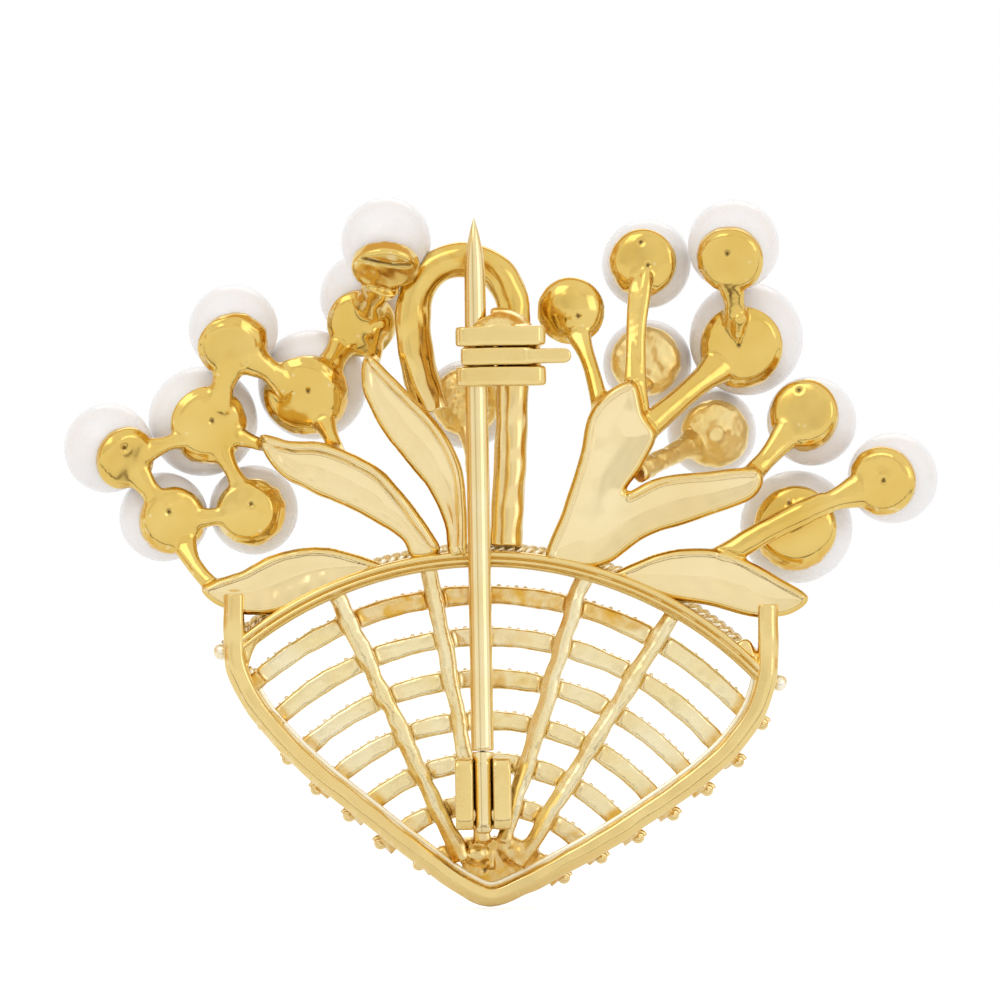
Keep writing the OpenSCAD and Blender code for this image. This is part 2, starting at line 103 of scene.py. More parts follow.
# the small punch marks that the pegs leave on the cups' backs, in X and Z
PITS = [
    (-8.6, 9.95), (-13.4, 8.45), (-17.75, 7.1), (-15.55, 3.9), (-11.45, 4.3), (4.9, 13.7),
    (8.05, 17.4), (8.4, 16.25), (12.35, 16.8), (12.95, 12.25), (15.95, 10.0), (20.15, 5.45),
    (15.45, 4.35), (0.25, -14.0),
]


# ---------------------------------------------------------------- small maths
def catmull(p, closed, n):
    """A smooth curve through points of any dimension."""
    p = np.array(p, float)
    m = len(p)
    out = []
    for i in range(m if closed else m - 1):
        if closed:
            a, b, c, d = (p[(i + k) % m] for k in (-1, 0, 1, 2))
        else:
            a, b, c, d = (p[min(max(i + k, 0), m - 1)] for k in (-1, 0, 1, 2))
        for k in range(n):
            t = k / n
            square, cube = 2 * a - 5 * b + 4 * c - d, 3 * b - a - 3 * c + d
            out.append(0.5 * (2 * b + (c - a) * t + square * t * t + cube * t**3))
    if not closed:
        out.append(p[-1])
    return np.array(out)


def ramp(a, b, x):
    """0 up to a, 1 from b, smooth between."""
    t = np.clip((x - a) / (b - a), 0, 1)
    return t * t * (3 - 2 * t)


def unit(v):
    v = np.array(v, float)
    return v / norm(v)


def axis_of(b):
    return np.array([b[3], sqrt(1 - b[3] ** 2 - b[4] ** 2), b[4]])


def cup_back(b):
    return np.array(b[0]) - axis_of(b) * (b[1] + GLUE + FLOOR)


def cup_side(b, target, reach=0.7):
    """A point on the side of a cup's floor, towards a target."""
    n, c = axis_of(b), cup_back(b)
    v = np.array(target, float) - c
    flat = v - (v @ n) * n
    return c + n * 0.45 + unit(flat) * b[2] * reach


def waves(seed, count, scale):
    """Fixed random plane waves, summed for a smooth wobble."""
    rng = np.random.default_rng(seed)
    k = rng.normal(size=(count, 3)) * (2 * pi / scale)
    ph = rng.uniform(0, 2 * pi, count)
    return lambda p: np.sin(p @ k.T + ph).sum(1) / sqrt(count)


def placed(name, data):
    """An object with the given data, in the scene."""
    ob = bpy.data.objects.new(name, data)
    bpy.context.scene.collection.objects.link(ob)
    return ob


# ---------------------------------------------------------------- solids as vertex and face lists
class Solid:
    """Closed shells in one list, in millimetres."""

    def __init__(self):
        self.v, self.f, self.n = [], [], 0

    def add(self, v, f):
        self.v.append(np.array(v, float))
        self.f += [[i + self.n for i in face] for face in f]
        self.n += len(v)
        return self

    def lathe(self, profile, at, axis, seg=72):
        """Revolves (radius, height) points; the first and last lie on the axis."""
        rot = Vector((0, 0, 1)).rotation_difference(Vector(axis)).to_matrix()
        rot = np.array(rot)
        inner = profile[1:-1]
        v = [[0, 0, profile[0][1]]]
        for r, t in inner:
            for k in range(seg):
                a = 2 * pi * k / seg
                v.append([r * cos(a), r * sin(a), t])
        v.append([0, 0, profile[-1][1]])
        f = []
        last = len(v) - 1
        for k in range(seg):
            n = (k + 1) % seg
            f.append([0, 1 + n, 1 + k])
            for j in range(len(inner) - 1):
                a, b = 1 + j * seg, 1 + (j + 1) * seg
                f.append([a + k, a + n, b + n, b + k])
            a = 1 + (len(inner) - 1) * seg
            f.append([a + k, a + n, last])
        return self.add(np.array(v) @ rot.T + np.array(at), f)

    def sweep(self, path, section, sizes=None):
        """Sweeps a closed section along a path. Its first coordinate lies across the path in the
        plane of the brooch and its second points to +Y. sizes scales it point by point."""
        path = np.array(path, float)
        section = np.array(section, float)
        m, s = len(path), len(section)
        sizes = np.ones((m, 2)) if sizes is None else np.array(sizes, float)
        if sizes.ndim == 1:
            sizes = np.stack([sizes, sizes], 1)
        v = []
        for i in range(m):
            t = unit(path[min(i + 1, m - 1)] - path[max(i - 1, 0)])
            across = np.cross(np.array([0, 1.0, 0]), t)
            if norm(across) < 0.2:
                across = np.array([1.0, 0, 0])
            across = unit(across)
            depth = np.cross(t, across)
            for a, b in section:
                v.append(path[i] + across * a * sizes[i, 0] + depth * b * sizes[i, 1])
        f = []
        for i in range(m - 1):
            j = i + 1
            for k in range(s):
                n = (k + 1) % s
                f.append([i * s + k, i * s + n, j * s + n, j * s + k])
        f.append(list(range(s))[::-1])
        f.append([(m - 1) * s + k for k in range(s)])
        return self.add(v, f)

    def ball(self, at, r, seg=24):
        prof = [(r * sin(a), -r * cos(a)) for a in np.linspace(0, pi, seg // 2 + 1)]
        return self.lathe(prof, at, (0, 1, 0), seg)

    def plate(self, outline, y):
        n = len(outline)
        v = [[p[0], y[0], p[1]] for p in outline] + [[p[0], y[1], p[1]] for p in outline]
        f = [list(range(n)), [n + k for k in range(n)][::-1]]
        f += [[k, n + k, n + (k + 1) % n, (k + 1) % n] for k in range(n)]
        return self.add(v, f)

    def mesh(self, name):
        me = bpy.data.meshes.new(name)
        me.from_pydata(np.vstack(self.v).tolist(), [], self.f)
        bm = bmesh.new()
        bm.from_mesh(me)
        bmesh.ops.recalc_face_normals(bm, faces=bm.faces)
        bm.to_mesh(me)
        bm.free()
        return me


def rounded(w, d, power=3.0, n=28):
    """A rounded box section of width w and depth d."""
    out = []
    for k in range(n):
        a = 2 * pi * k / n
        c, s = cos(a), sin(a)
        q = (abs(c) ** power + abs(s) ** power) ** (-1 / power)
        out.append((w / 2 * c * q, d / 2 * s * q))
    return out


def fused(solid, voxel=None):
    """One closed skin round overlapping shells, as (vertices, faces)."""
    me = solid.mesh("tmp")
    ob = placed("tmp", me)
    mod = ob.modifiers.new("fuse", "REMESH")
    mod.mode = "VOXEL"
    mod.voxel_size = voxel or VOXEL
    dg = bpy.context.evaluated_depsgraph_get()
    got = bpy.data.meshes.new_from_object(ob.evaluated_get(dg))
    v, f = arrays(got)
    bpy.data.objects.remove(ob)
    bpy.data.meshes.remove(me)
    bpy.data.meshes.remove(got)
    return v, f


def read(items, key, kind=np.int32, each=1):
    out = np.zeros(len(items) * each, kind)
    items.foreach_get(key, out)
    return out


def arrays(me):
    """A mesh as points and as the corners, first corner and corner count of its faces."""
    v = read(me.vertices, "co", np.float32, 3).reshape(-1, 3).astype(float)
    loops = read(me.loops, "vertex_index")
    return v, (loops, read(me.polygons, "loop_start"), read(me.polygons, "loop_total"))


def links(f, n):
    """The edges of a skin of n points, and how many meet at each point."""
    loops, starts, totals = f
    nxt = np.arange(len(loops)) + 1
    nxt[starts + totals - 1] = starts
    e = np.stack([loops, loops[nxt]], 1)
    e.sort(axis=1)
    e = np.unique(e, axis=0)
    return e, np.bincount(e.ravel(), minlength=n)[:, None].clip(1)


def pull(v, e, count):
    """From each point to the middle of the points joined to it."""
    n, (a, b) = len(v), e.T
    total = [np.bincount(a, v[b, k], n) + np.bincount(b, v[a, k], n) for k in range(3)]
    return np.stack(total, 1) / count - v


def relax(v, f, rounds, keep=True):
    """Taubin smoothing evens out the skin without shrinking it. Without keep it shrinks."""
    e, count = links(f, len(v))
    for k in range(rounds):
        for lam in (0.6, -0.62) if keep else (0.5,):
            v = v + lam * pull(v, e, count)
    return v


def normals_of(v, f):
    loops, starts, totals = f
    a, b, c = (v[loops[starts + k]] for k in range(3))
    fn = np.cross(b - a, c - a)
    ids = np.repeat(np.arange(len(starts)), totals)
    out = np.stack([np.bincount(loops, fn[ids, k], len(v)) for k in range(3)], 1)
    return out / norm(out, axis=1, keepdims=True).clip(1e-12)


def piece(name, v, f, material, body="brooch", slot="cast_gold", replaces=(), **marks):
    """A finished piece: metres, smooth shading, material, body and per-point marks; slot is not used."""
    loops, starts, totals = f
    me = bpy.data.meshes.new(name)
    me.vertices.add(len(v))
    me.vertices.foreach_set("co", (np.asarray(v) * MM).astype(np.float32).ravel())
    me.loops.add(len(loops))
    me.loops.foreach_set("vertex_index", loops)
    me.polygons.add(len(starts))
    me.polygons.foreach_set("loop_start", starts)
    me.update(calc_edges=True)
    me.polygons.foreach_set("use_smooth", np.ones(len(starts), bool))
    for key, values in marks.items():
        at = me.attributes.new(key, "FLOAT", "POINT")
        at.data.foreach_set("value", values.astype(np.float32))
    me.validate()
    me.materials.append(material)
    ob = placed(name, me)
    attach(ob, body)
    if replaces:
        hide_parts(*replaces)
    return ob


def plain(solid):
    """The shells as they are, without fusing."""
    me = solid.mesh("tmp")
    out = arrays(me)
    bpy.data.meshes.remove(me)
    return out


def fill_hollows(v, f, rounds, share):
    """Metal flows into concave creases, as it does in a wax model. share is 0 to 1 per point."""
    e, count = links(f, len(v))
    for k in range(rounds):
        normals = normals_of(v, f)
        lift = (pull(v, e, count) * normals).sum(1)
        v = v + normals * (np.maximum(lift, 0) * 0.95 * share)[:, None]
    return v


def clear_pearls(v, names, extra=0.0):
    """Pushes metal out of the pearls."""
    for k in names:
        b = BLOOMS[k]
        d = v - np.array(b[0])
        r = norm(d, axis=1)
        limit = b[1] + GLUE * 0.5 + extra
        inside = r < limit
        v[inside] = np.array(b[0]) + d[inside] / r[inside, None] * limit
    return v


def pit_marks(v, normals):
    """Dents the punch marks into the backs and returns how dark each point becomes: painted shade in the
    dents.
    """
    marks = np.zeros(len(v))
    for x, z in PITS:
        near = np.hypot(v[:, 0] - x, v[:, 2] - z)
        close = (near < 0.8) & (normals[:, 1] < -0.3)
        if not close.any():
            continue
        top = v[close][:, 1][np.argsort(near[close])[:5]].mean()
        level = close * (np.abs(v[:, 1] - top) < 0.6)
        dot = np.exp(-((near / 0.12) ** 2)) * level
        ring = np.exp(-(((near - 0.3) / 0.09) ** 2)) * level
        v[:, 1] += 0.09 * dot - 0.008 * ring
        marks = np.maximum(marks, dot)
    return v, marks


def slit(v, line, width=0.1, depth=0.12):
    """A cut along a line of points, in their plane; returns how dark each point becomes: painted shade in
    the cut.
    """
    best = np.full(len(v), 1e9)
    for a, b in zip(line[:-1], line[1:]):
        t = np.clip(((v - a) @ (b - a)) / ((b - a) @ (b - a)), 0, 1)
        best = np.minimum(best, norm(v - a - t[:, None] * (b - a), axis=1))
    mark = np.exp(-((best / width) ** 2))
    v[:, 1] += depth * mark
    return v, mark


def liquid(v, f, seed, amount, scale=2.6):
    """The slight waviness of hand-polished castings."""
    return v + normals_of(v, f) * (waves(seed, 14, scale)(v) * amount)[:, None]


# ---------------------------------------------------------------- materials
def fresh_tree(owner):
    owner.use_nodes = True
    owner.node_tree.nodes.clear()
    return owner.node_tree


def output(nt, surface, kind="Material"):
    out = nt.nodes.new(f"ShaderNodeOutput{kind}")
    nt.links.new(surface.outputs[0], out.inputs[0])


def node_tree(name):
    m = bpy.data.materials.new(name)
    nt = fresh_tree(m)
    bsdf = nt.nodes.new("ShaderNodeBsdfPrincipled")
    output(nt, bsdf)
    return m, nt, bsdf


def noise(nt, scale, detail=3.0, rough=0.5, stretch=(1, 1, 1)):
    co = nt.nodes.new("ShaderNodeTexCoord")
    mp = nt.nodes.new("ShaderNodeMapping")
    mp.inputs["Scale"].default_value = stretch
    nz = nt.nodes.new("ShaderNodeTexNoise")
    nz.inputs["Scale"].default_value = scale
    nz.inputs["Detail"].default_value = detail
    nz.inputs["Roughness"].default_value = rough
    nt.links.new(co.outputs["Object"], mp.inputs[0])
    nt.links.new(mp.outputs[0], nz.inputs["Vector"])
    return nz.outputs[0]


def span(nt, value, lo, hi, a, b):
    """Maps lo to hi onto a to b."""
    mr = nt.nodes.new("ShaderNodeMapRange")
    for key, number in (("From Min", lo), ("From Max", hi), ("To Min", a), ("To Max", b)):
        mr.inputs[key].default_value = number
    nt.links.new(value, mr.inputs["Value"])
    return mr.outputs[0]


def maths(nt, kind, a, b):
    node = nt.nodes.new("ShaderNodeMath")
    node.operation = kind
    for sock, val in ((node.inputs[0], a), (node.inputs[1], b)):
        if isinstance(val, (int, float)):
            sock.default_value = val
        else:
            nt.links.new(val, sock)
    return node.outputs[0]


def mixed(nt, factor, a, b):
    mx = nt.nodes.new("ShaderNodeMix")
    mx.data_type = "RGBA"
    nt.links.new(factor, mx.inputs[0])
    for sock, val in ((mx.inputs[6], a), (mx.inputs[7], b)):
        if isinstance(val, tuple):
            sock.default_value = (*val, 1)
        else:
            nt.links.new(val, sock)
    return mx.outputs[2]


def bump(nt, height, strength, distance, under=None):
    node = nt.nodes.new("ShaderNodeBump")
    node.inputs["Strength"].default_value = strength
    node.inputs["Distance"].default_value = distance
    nt.links.new(height, node.inputs["Height"])
    if under:
        nt.links.new(under, node.inputs["Normal"])
    return node.outputs[0]


def mark(nt, name):
    node = nt.nodes.new("ShaderNodeAttribute")
    node.attribute_name = name
    return node.outputs["Fac"]


def along_pin(nt, across=True):
    """Millimetres across the leaning pin, or up it."""
    co = nt.nodes.new("ShaderNodeTexCoord")
    dot = nt.nodes.new("ShaderNodeVectorMath")
    dot.operation = "DOT_PRODUCT"
    lean = radians(PIN_LEAN)
    way = (cos(lean), 0, sin(lean)) if across else (-sin(lean), 0, cos(lean))
    dot.inputs[1].default_value = tuple(c / MM for c in way)
    nt.links.new(co.outputs["Object"], dot.inputs[0])
    return dot.outputs["Value"]


# AMBER colours painted shade, the wire's painted reflection and the catch cap's mottle; PALE colours
# painted highlight
AMBER = (0.74, 0.43, 0.07)
PALE = (0.92, 0.77, 0.45)
RELIEF = 0.00003


def gold(
    name, tones, rough, grain=0.0, grain_scale=9000, wobble=0.3, shelter=0.85, stretch=(1, 1, 1), lines=None
):
    """Gold plate: its colour drifts between two tones; convex edges and places marked pale get a paler
    painted highlight;
    sheltered places, creases and places marked deep get amber painted shade, by as much as shelter; pits
    get dark painted shade. lines adds painted lines from a position."""
    m, nt, bsdf = node_tree(name)
    bsdf.inputs["Metallic"].default_value = 1.0
    drift = span(nt, noise(nt, 330, 4), 0.35, 0.68, 0, 1)
    base = mixed(nt, drift, *tones)
    # painted highlight: places marked pale turn paler, broken up by noise
    painted_highlight = maths(nt, "MULTIPLY", mark(nt, "pale"), span(nt, noise(nt, 210, 2), 0.3, 0.7, 1, 0.7))
    base = mixed(nt, painted_highlight, base, PALE)
    geo = nt.nodes.new("ShaderNodeNewGeometry")
    # painted highlight: convex edges, where pointiness is high, turn paler
    painted_edge_highlight = span(nt, geo.outputs["Pointiness"], 0.53, 0.66, 0, 0.6)
    base = mixed(nt, painted_edge_highlight, base, PALE)
    # painted shade: amber where ambient occlusion finds near surfaces, in concave creases (low pointiness)
    # and in patches where marked deep
    near = nt.nodes.new("ShaderNodeAmbientOcclusion")
    near.samples = 5
    near.only_local = True
    near.inputs["Distance"].default_value = 0.0011
    close = span(nt, near.outputs["AO"], 0.45, 0.86, shelter, 0)
    hollow = span(nt, geo.outputs["Pointiness"], 0.41, 0.485, shelter * 0.9, 0)
    patch = maths(nt, "MULTIPLY", mark(nt, "deep"), span(nt, noise(nt, 1300, 3), 0.36, 0.6, 1, 0.35))
    amber = maths(nt, "MAXIMUM", maths(nt, "MAXIMUM", close, hollow), patch)
    base = mixed(nt, amber, base, AMBER)
    if lines:
        base = lines(nt, base)
    # painted shade: near-black where the pit mark is high, in the dents and cuts
    base = mixed(nt, span(nt, mark(nt, "pit"), 0.15, 0.9, 0, 1), base, (0.09, 0.05, 0.02))
    nt.links.new(base, bsdf.inputs["Base Color"])
    r = span(nt, noise(nt, 1500, 5, 0.6, stretch), 0.3, 0.72, rough[0], rough[1])
    nt.links.new(r, bsdf.inputs["Roughness"])
    surface = bump(nt, noise(nt, 900, 2, 0.4, stretch), wobble, RELIEF)
    if grain:
        surface = bump(nt, noise(nt, grain_scale, 3, 0.6, stretch), grain, RELIEF, surface)
    nt.links.new(surface, bsdf.inputs["Normal"])
    return m


def wire_lines(nt, base):
    """Painted light on the drawn wire: its amber left side is a painted reflection, and the fine dark line
    down its middle is the painted shade of a groove.
    """
    x = along_pin(nt)
    left = span(nt, x, -0.42, -0.26, 0.6, 0)
    base = mixed(nt, left, base, AMBER)
    off = maths(nt, "ABSOLUTE", maths(nt, "ADD", x, 0.1), 0.0)
    return mixed(nt, span(nt, off, 0.015, 0.04, 0.6, 0), base, (0.52, 0.34, 0.09))


def cap_mottle(nt, base):
    """The rough, mottled cap on top of the catch."""
    height = span(nt, along_pin(nt, False), CAP_Z, CAP_Z + 0.1, 0, 1)
    spots = span(nt, noise(nt, 2400, 4, 0.6), 0.42, 0.58, 0, 0.8)
    return mixed(nt, maths(nt, "MULTIPLY", height, spots), base, AMBER)


NACRE = {
    "IOR": 1.42,
    "Subsurface Weight": 0.3, "Subsurface Radius": (1.0, 0.8, 0.7), "Subsurface Scale": 0.0006,
    "Coat Weight": 0.25, "Coat Roughness": 0.12,
    "Sheen Weight": 0.06, "Sheen Roughness": 0.35, "Sheen Tint": (1.0, 0.95, 0.92, 1),
}


def pearl_material(name, tint):
    m, nt, bsdf = node_tree(name)
    drift = span(nt, noise(nt, 260, 3), 0.35, 0.68, 0, 1)
    base = mixed(nt, drift, (0.915, 0.885, 0.865), tint)
    spots = span(nt, noise(nt, 2600, 2), 0.70, 0.80, 0, 0.16)
    base = mixed(nt, spots, base, (0.78, 0.73, 0.70))
    nt.links.new(base, bsdf.inputs["Base Color"])
    for key, value in NACRE.items():
        bsdf.inputs[key].default_value = value
    nt.links.new(span(nt, noise(nt, 700, 4), 0.3, 0.7, 0.2, 0.38), bsdf.inputs["Roughness"])
    nt.links.new(bump(nt, noise(nt, 650, 3), 0.12, 0.00004), bsdf.inputs["Normal"])
    return m


LIGHT, DEEP = (0.81, 0.585, 0.18), (0.75, 0.505, 0.12)
CAST = gold("cast_polished", (LIGHT, DEEP), (0.10, 0.2))
WEAVE = gold("weave_mottled", ((0.91, 0.80, 0.52), (0.86, 0.70, 0.34)), (0.14, 0.32), 0.35, 3600, 0.7, 0.6)
RAW = gold("raw_casting", ((0.94, 0.77, 0.38), (0.88, 0.63, 0.20)), (0.24, 0.42), 0.7, 3200, 0.7, 0.4)
ROPE = gold("rope_pale", ((0.97, 0.93, 0.80), (0.95, 0.87, 0.68)), (0.25, 0.4), 0.4, 5000, 0.4, 0.12)
FIND_TONES = (0.87, 0.68, 0.30), (0.81, 0.60, 0.22)
FIND = gold("findings", FIND_TONES, (0.12, 0.22), 0.08, 6000, 0.4, 0.5)
CATCH = gold("catch_cheeks", FIND_TONES, (0.12, 0.22), 0.08, 6000, 0.4, 0.5, lines=cap_mottle)
PIN_TONES = (0.90, 0.76, 0.44), (0.86, 0.69, 0.34)
PIN = gold("pin_wire", PIN_TONES, (0.12, 0.24), 0.15, 9000, 0.2, 0.5, (1, 1, 0.06), wire_lines)

# ---------------------------------------------------------------- outlines in X and Z
UPPER_LEFT = [
    (-5.6, 11.75), (-5.85, 10.1), (-4.9, 8), (-3.65, 6.4), (-2.55, 5), (-1.8, 3.4), (-1.5, 1.8),
    (-0.7, 1.8), (-0.75, 5.2), (-1.3, 7.1), (-2.4, 8.7), (-3.8, 10.1),
]
MIDDLE_LEFT = [
    (-11, 7.7), (-9.4, 7.45), (-7.6, 7.3), (-5.2, 6.2), (-3.95, 4.95), (-2.9, 3.6), (-2, 2),
    (-3.35, 1.6), (-4, 2.6), (-6.25, 3.95), (-8.5, 4.95), (-10.2, 6),
]
LOWER_LEFT = [
    (-13.9, -0.05), (-13.2, 0.5), (-11.9, 0.95), (-10.2, 1.8), (-8.3, 2.15), (-6.6, 1.9),
    (-4.7, 1.15), (-5.7, 0.65), (-7.6, -0.05), (-9.3, -0.9), (-11.2, -1.25), (-12.8, -0.9),
]
BLADE = [
    (3.3, 1.6), (4.1, 3.9), (5, 6.7), (5.5, 8.9), (6.7, 10.15), (7.75, 10.35), (8.2, 8.8), (8.8, 7.7),
    (8.1, 6.2), (7.3, 4.9), (9, 5.65), (11.2, 5.9), (13.9, 6.05), (13.7, 4.65), (10.8, 3.5),
    (8.3, 2.65), (6.5, 1.4), (5, 1.1),
]
LOWER_RIGHT = [
    (6.6, 0.6), (7.9, 1.45), (9.6, 2), (11.6, 2.05), (13.1, 1.6), (14.95, 0.6), (16.4, -0.35),
    (15.5, -1.2), (13.8, -1.35), (11.6, -0.8), (9.2, -0.35),
]
FRAME_LINE = [
    (-12.3, -0.5), (-12.3, -2.4), (-12.1, -4.1), (-11.1, -6), (-9.6, -7.75), (-7.95, -9.3),
    (-6.25, -10.65), (-4.55, -12), (-2.85, -13.3), (-1.15, -14.55), (0.5, -15.3), (2.2, -14.7),
    (3.85, -13.85), (5.5, -12.95), (7.3, -11.85), (9.3, -10.5), (11.2, -9.1), (12.75, -7.6),
    (13.85, -5.9), (14.35, -4.2), (14.4, -2.6), (14.4, -1),
]
RIBS = [
    [(-7.15, -0.3), (-0.9, -13.5)],
    [(-2.6, 1.4), (0.15, -12.6)],
    [(5.25, 1), (1.2, -12.6)],
    [(9.6, -1.3), (1.9, -13.7)],
]


# ---------------------------------------------------------------- leaves
def to_outline(points, outline):
    """Distance of each (x, z) inside an outline (negative outside), and the outward direction."""
    q = np.array(outline)
    nxt = np.roll(q, -1, 0)
    area = np.sum(q[:, 0] * nxt[:, 1] - nxt[:, 0] * q[:, 1])
    side = 1 if area > 0 else -1
    best = np.full(len(points), 1e9)
    out = np.zeros((len(points), 2))
    within = np.zeros(len(points), bool)
    x, z = points.T
    for a, s in zip(q, nxt - q):
        t = np.clip(((points - a) @ s) / (s @ s), 0, 1)
        d = np.hypot(*(points - a - t[:, None] * s).T)
        nearer = d < best
        best[nearer] = d[nearer]
        out[nearer] = side * np.array([s[1], -s[0]]) / norm(s)
        if abs(s[1]) > 1e-9:
            k = (z - a[1]) / s[1]
            within ^= (k >= 0) & (k < 1) & (x < a[0] + k * s[0])
    return np.where(within, best, -best), out


def trimmed(points):
    """A leaf's smooth outline, cut back to the rim of the basket."""
    line = catmull(points, True, 6)
    off = line - np.array(BASKET)
    r = norm(off, axis=1)
    low = r < RIM_R + 0.1
    line[low] = np.array(BASKET) + off[low] / r[low, None] * (RIM_R + 0.1)
    return line


class Leaf:
    """A leaf plate with a bevelled, partly raised rim and a gently dished middle."""

    def __init__(self, points, y, rim, rim_side, rim_width, dish, fold=None):
        self.outline, self.y = trimmed(points), y
        self.rim, self.rim_side, self.rim_width = rim, unit(rim_side), rim_width
        self.dish, self.fold = dish, fold

    def shape(self, v, pale):
        """Works the relief into the fused casting, and marks the leaf's middle for a painted highlight (a
        paler tint).
        """
        xz = v[:, [0, 2]]
        lo, hi = self.outline.min(0) - 0.5, self.outline.max(0) + 0.5
        y0, y1 = self.y
        near = ((xz > lo) & (xz < hi)).all(1) & (v[:, 1] > y0 - 0.35) & (v[:, 1] < y1 + 0.2)
        ids = np.nonzero(near)[0]
        d, out = to_outline(xz[ids], self.outline)
        kept = d > -0.12
        ids, d, out = ids[kept], d[kept].clip(0), out[kept]
        towards = ramp(-0.1, 0.6, out @ self.rim_side)
        back = 1 - ramp(y0, y1, v[ids, 1])
        w = self.rim_width
        raised = self.rim * (0.15 + 0.85 * towards) * (1 - ramp(w * 0.5, w, d))
        bevel = 0.2 * (1 - ramp(0.0, 0.24, d))
        hollow = self.dish * ramp(0.3, 1.5, d)
        v[ids, 1] += back * (bevel - raised + hollow)
        v[ids, 1] -= (1 - back) * 0.22 * (1 - ramp(0.0, 0.5, d))
        if self.fold is not None:
            v[ids, 1] += self.fold(v[ids][:, [0, 2]])
        # painted highlight: the leaf's middle is marked pale
        pale[ids] = np.maximum(pale[ids], ramp(0.05, 0.4, d))
        return v, pale


# ---------------------------------------------------------------- cups and stems
# how far the polished face of each cup's back lies off the cup's middle, in X and Z
FACE_OFF = {
    "a": (-0.3, 0.06), "b": (-0.26, 0.14), "c": (-0.14, 0.24), "d": (-0.16, 0.06), "e": (-0.04, 0.16),
    "f": (-0.32, 0.04), "l": (0.1, 0.08), "m": (0.12, 0.24), "o": (0.12, 0.16), "p": (0.18, 0.06),
    "q": (0.1, 0.28), "j": (0.1, 0.08), "i": (0.08, 0.06),
}
# the topmost cup of the left spray is narrow along Z
SQUASH = {"h": 0.78}


def cup(solid, key):
    b = BLOOMS[key]
    seg = 88
    cr, seat, dome = b[2], b[1] + GLUE, b[5]
    x, z = FACE_OFF.get(key, (0, 0))
    off = np.array([x, 0, z])
    face = cr * 0.985 - 0.85 * norm(off) * (1 - dome)

    def depth(r):
        """Height of the pearl's seat over the cup's back, at radius r."""
        return (seat + FLOOR) - sqrt(max(seat * seat - r * r, 0.0))

    top = depth(cr * 0.97) - 0.03 if seat > cr else 0.95
    prof = [(0, 0.0)]
    for k in (0.15, 0.3, 0.5, 0.68, 0.8, 0.87, 0.93, 0.97, 1.0):
        flat = 0.05 * k * k + (0.17 * ((k - 0.84) / 0.16) ** 2 if k > 0.84 else 0)
        ball = 0.95 * (1 - sqrt(1 - k * k * 0.98))
        prof.append((face * k * (1 - dome) + cr * k * dome, flat * (1 - dome) + ball * dome))
    if top > prof[-1][1] + 0.15:
        prof.append((cr - (cr - face) * 0.25, prof[-1][1] + 0.12))
        prof.append((cr, (prof[-1][1] + top) / 2))
    prof.append((cr * 0.985, top - 0.03))
    prof.append((cr * 0.95, top))
    rise = len(prof)
    for k in (0.85, 0.7, 0.5, 0.25):
        r = cr * k if seat > cr else seat * k
        prof.append((r, max(depth(r), FLOOR)))
    prof.append((0, FLOOR))
    part = Solid().lathe(prof, (0, 0, 0), (0, 0, 1), seg)
    v = part.v[0]
    outer = np.ones(len(v))
    outer[1 + (rise - 1) * seg :] = 0
    share = outer * (1 - ramp(0.1, max(top, 0.5), v[:, 2]))
    rot = np.array(Vector((0, 0, 1)).rotation_difference(Vector(axis_of(b))).to_matrix())
    v = v @ rot.T
    if key in SQUASH:
        v[:, 2] = v[:, 2] * SQUASH[key] + 0.25
        v[:, 1] -= 0.35
    return solid.add(v + share[:, None] * off + cup_back(b), part.f)


def stem(solid, points, r, flare=(0.25, 0.25)):
    """A cast stem through points, a little flattened and thicker where it runs into its cup."""
    path = catmull(points, False, 6)
    r = np.interp(np.linspace(0, 1, len(path)), np.linspace(0, 1, len(r)), r)
    run = np.concatenate([[0], np.cumsum(norm(np.diff(path, axis=0), axis=1))])
    a = flare[0] * np.exp(-((run / 0.9) ** 2))
    b = flare[1] * np.exp(-(((run[-1] - run) / 0.9) ** 2))
    wide = r + a + b
    return solid.sweep(path, rounded(2, 2, 2.3, 24), np.stack([wide, r * 0.85], 1))


def join(a, b, r, bow=0.05, **kw):
    """A stem between two cups."""
    a, b = BLOOMS[a], BLOOMS[b]

    def build(solid):
        p, q = cup_side(a, cup_back(b), 0.5), cup_side(b, cup_back(a), 0.5)
        mid = (p + q) / 2 - np.array([0, bow, 0])
        return stem(solid, [p, mid, q], r, **kw)

    return build


def branch(a, q, r, bend=(0, 0, 0), **kw):
    """A stem from a cup to a point."""
    a = BLOOMS[a]

    def build(solid):
        p = cup_side(a, q, 0.6)
        mid = (p + np.array(q)) / 2 + np.array(bend)
        kw.setdefault("flare", (0.25, 0.0))
        return stem(solid, [p, mid, q], r, **kw)

    return build


def ridge(points, r, **kw):
    """A stem through given points, drawn out to nothing at its first end."""

    def build(solid):
        return stem(solid, points, r, **kw)

    return build


def on_back(key, x, z, lift=0.0):
    """A point on the back of a cup, over x and z, raised towards the viewer by lift."""
    b = BLOOMS[key]
    n, c = axis_of(b), cup_back(b)
    y = c[1] - ((x - c[0]) * n[0] + (z - c[2]) * n[2]) / n[1]
    return np.array([x, y - lift, z])


def side_wall(v, keys):
    """1 on the rough side walls of cups that their faces leave bare, 0 elsewhere; the material paints amber
    shade there.
    """
    deep = np.zeros(len(v))
    for k in keys:
        if k not in FACE_OFF:
            continue
        b = BLOOMS[k]
        n, d = axis_of(b), v - cup_back(b)
        t = d @ n
        flat = d - t[:, None] * n
        r = norm(flat, axis=1)
        bare = -unit([FACE_OFF[k][0], 0, FACE_OFF[k][1]])
        wall = ramp(0.1, 0.28, t) * (1 - ramp(1.3, 1.7, t))
        wall *= ramp(0.78, 0.86, r / b[2]) * (1 - ramp(1.04, 1.12, r / b[2]))
        wall *= ramp(-0.15, 0.55, (flat @ bare) / r.clip(0.1))
        deep = np.maximum(deep, wall)
    return deep


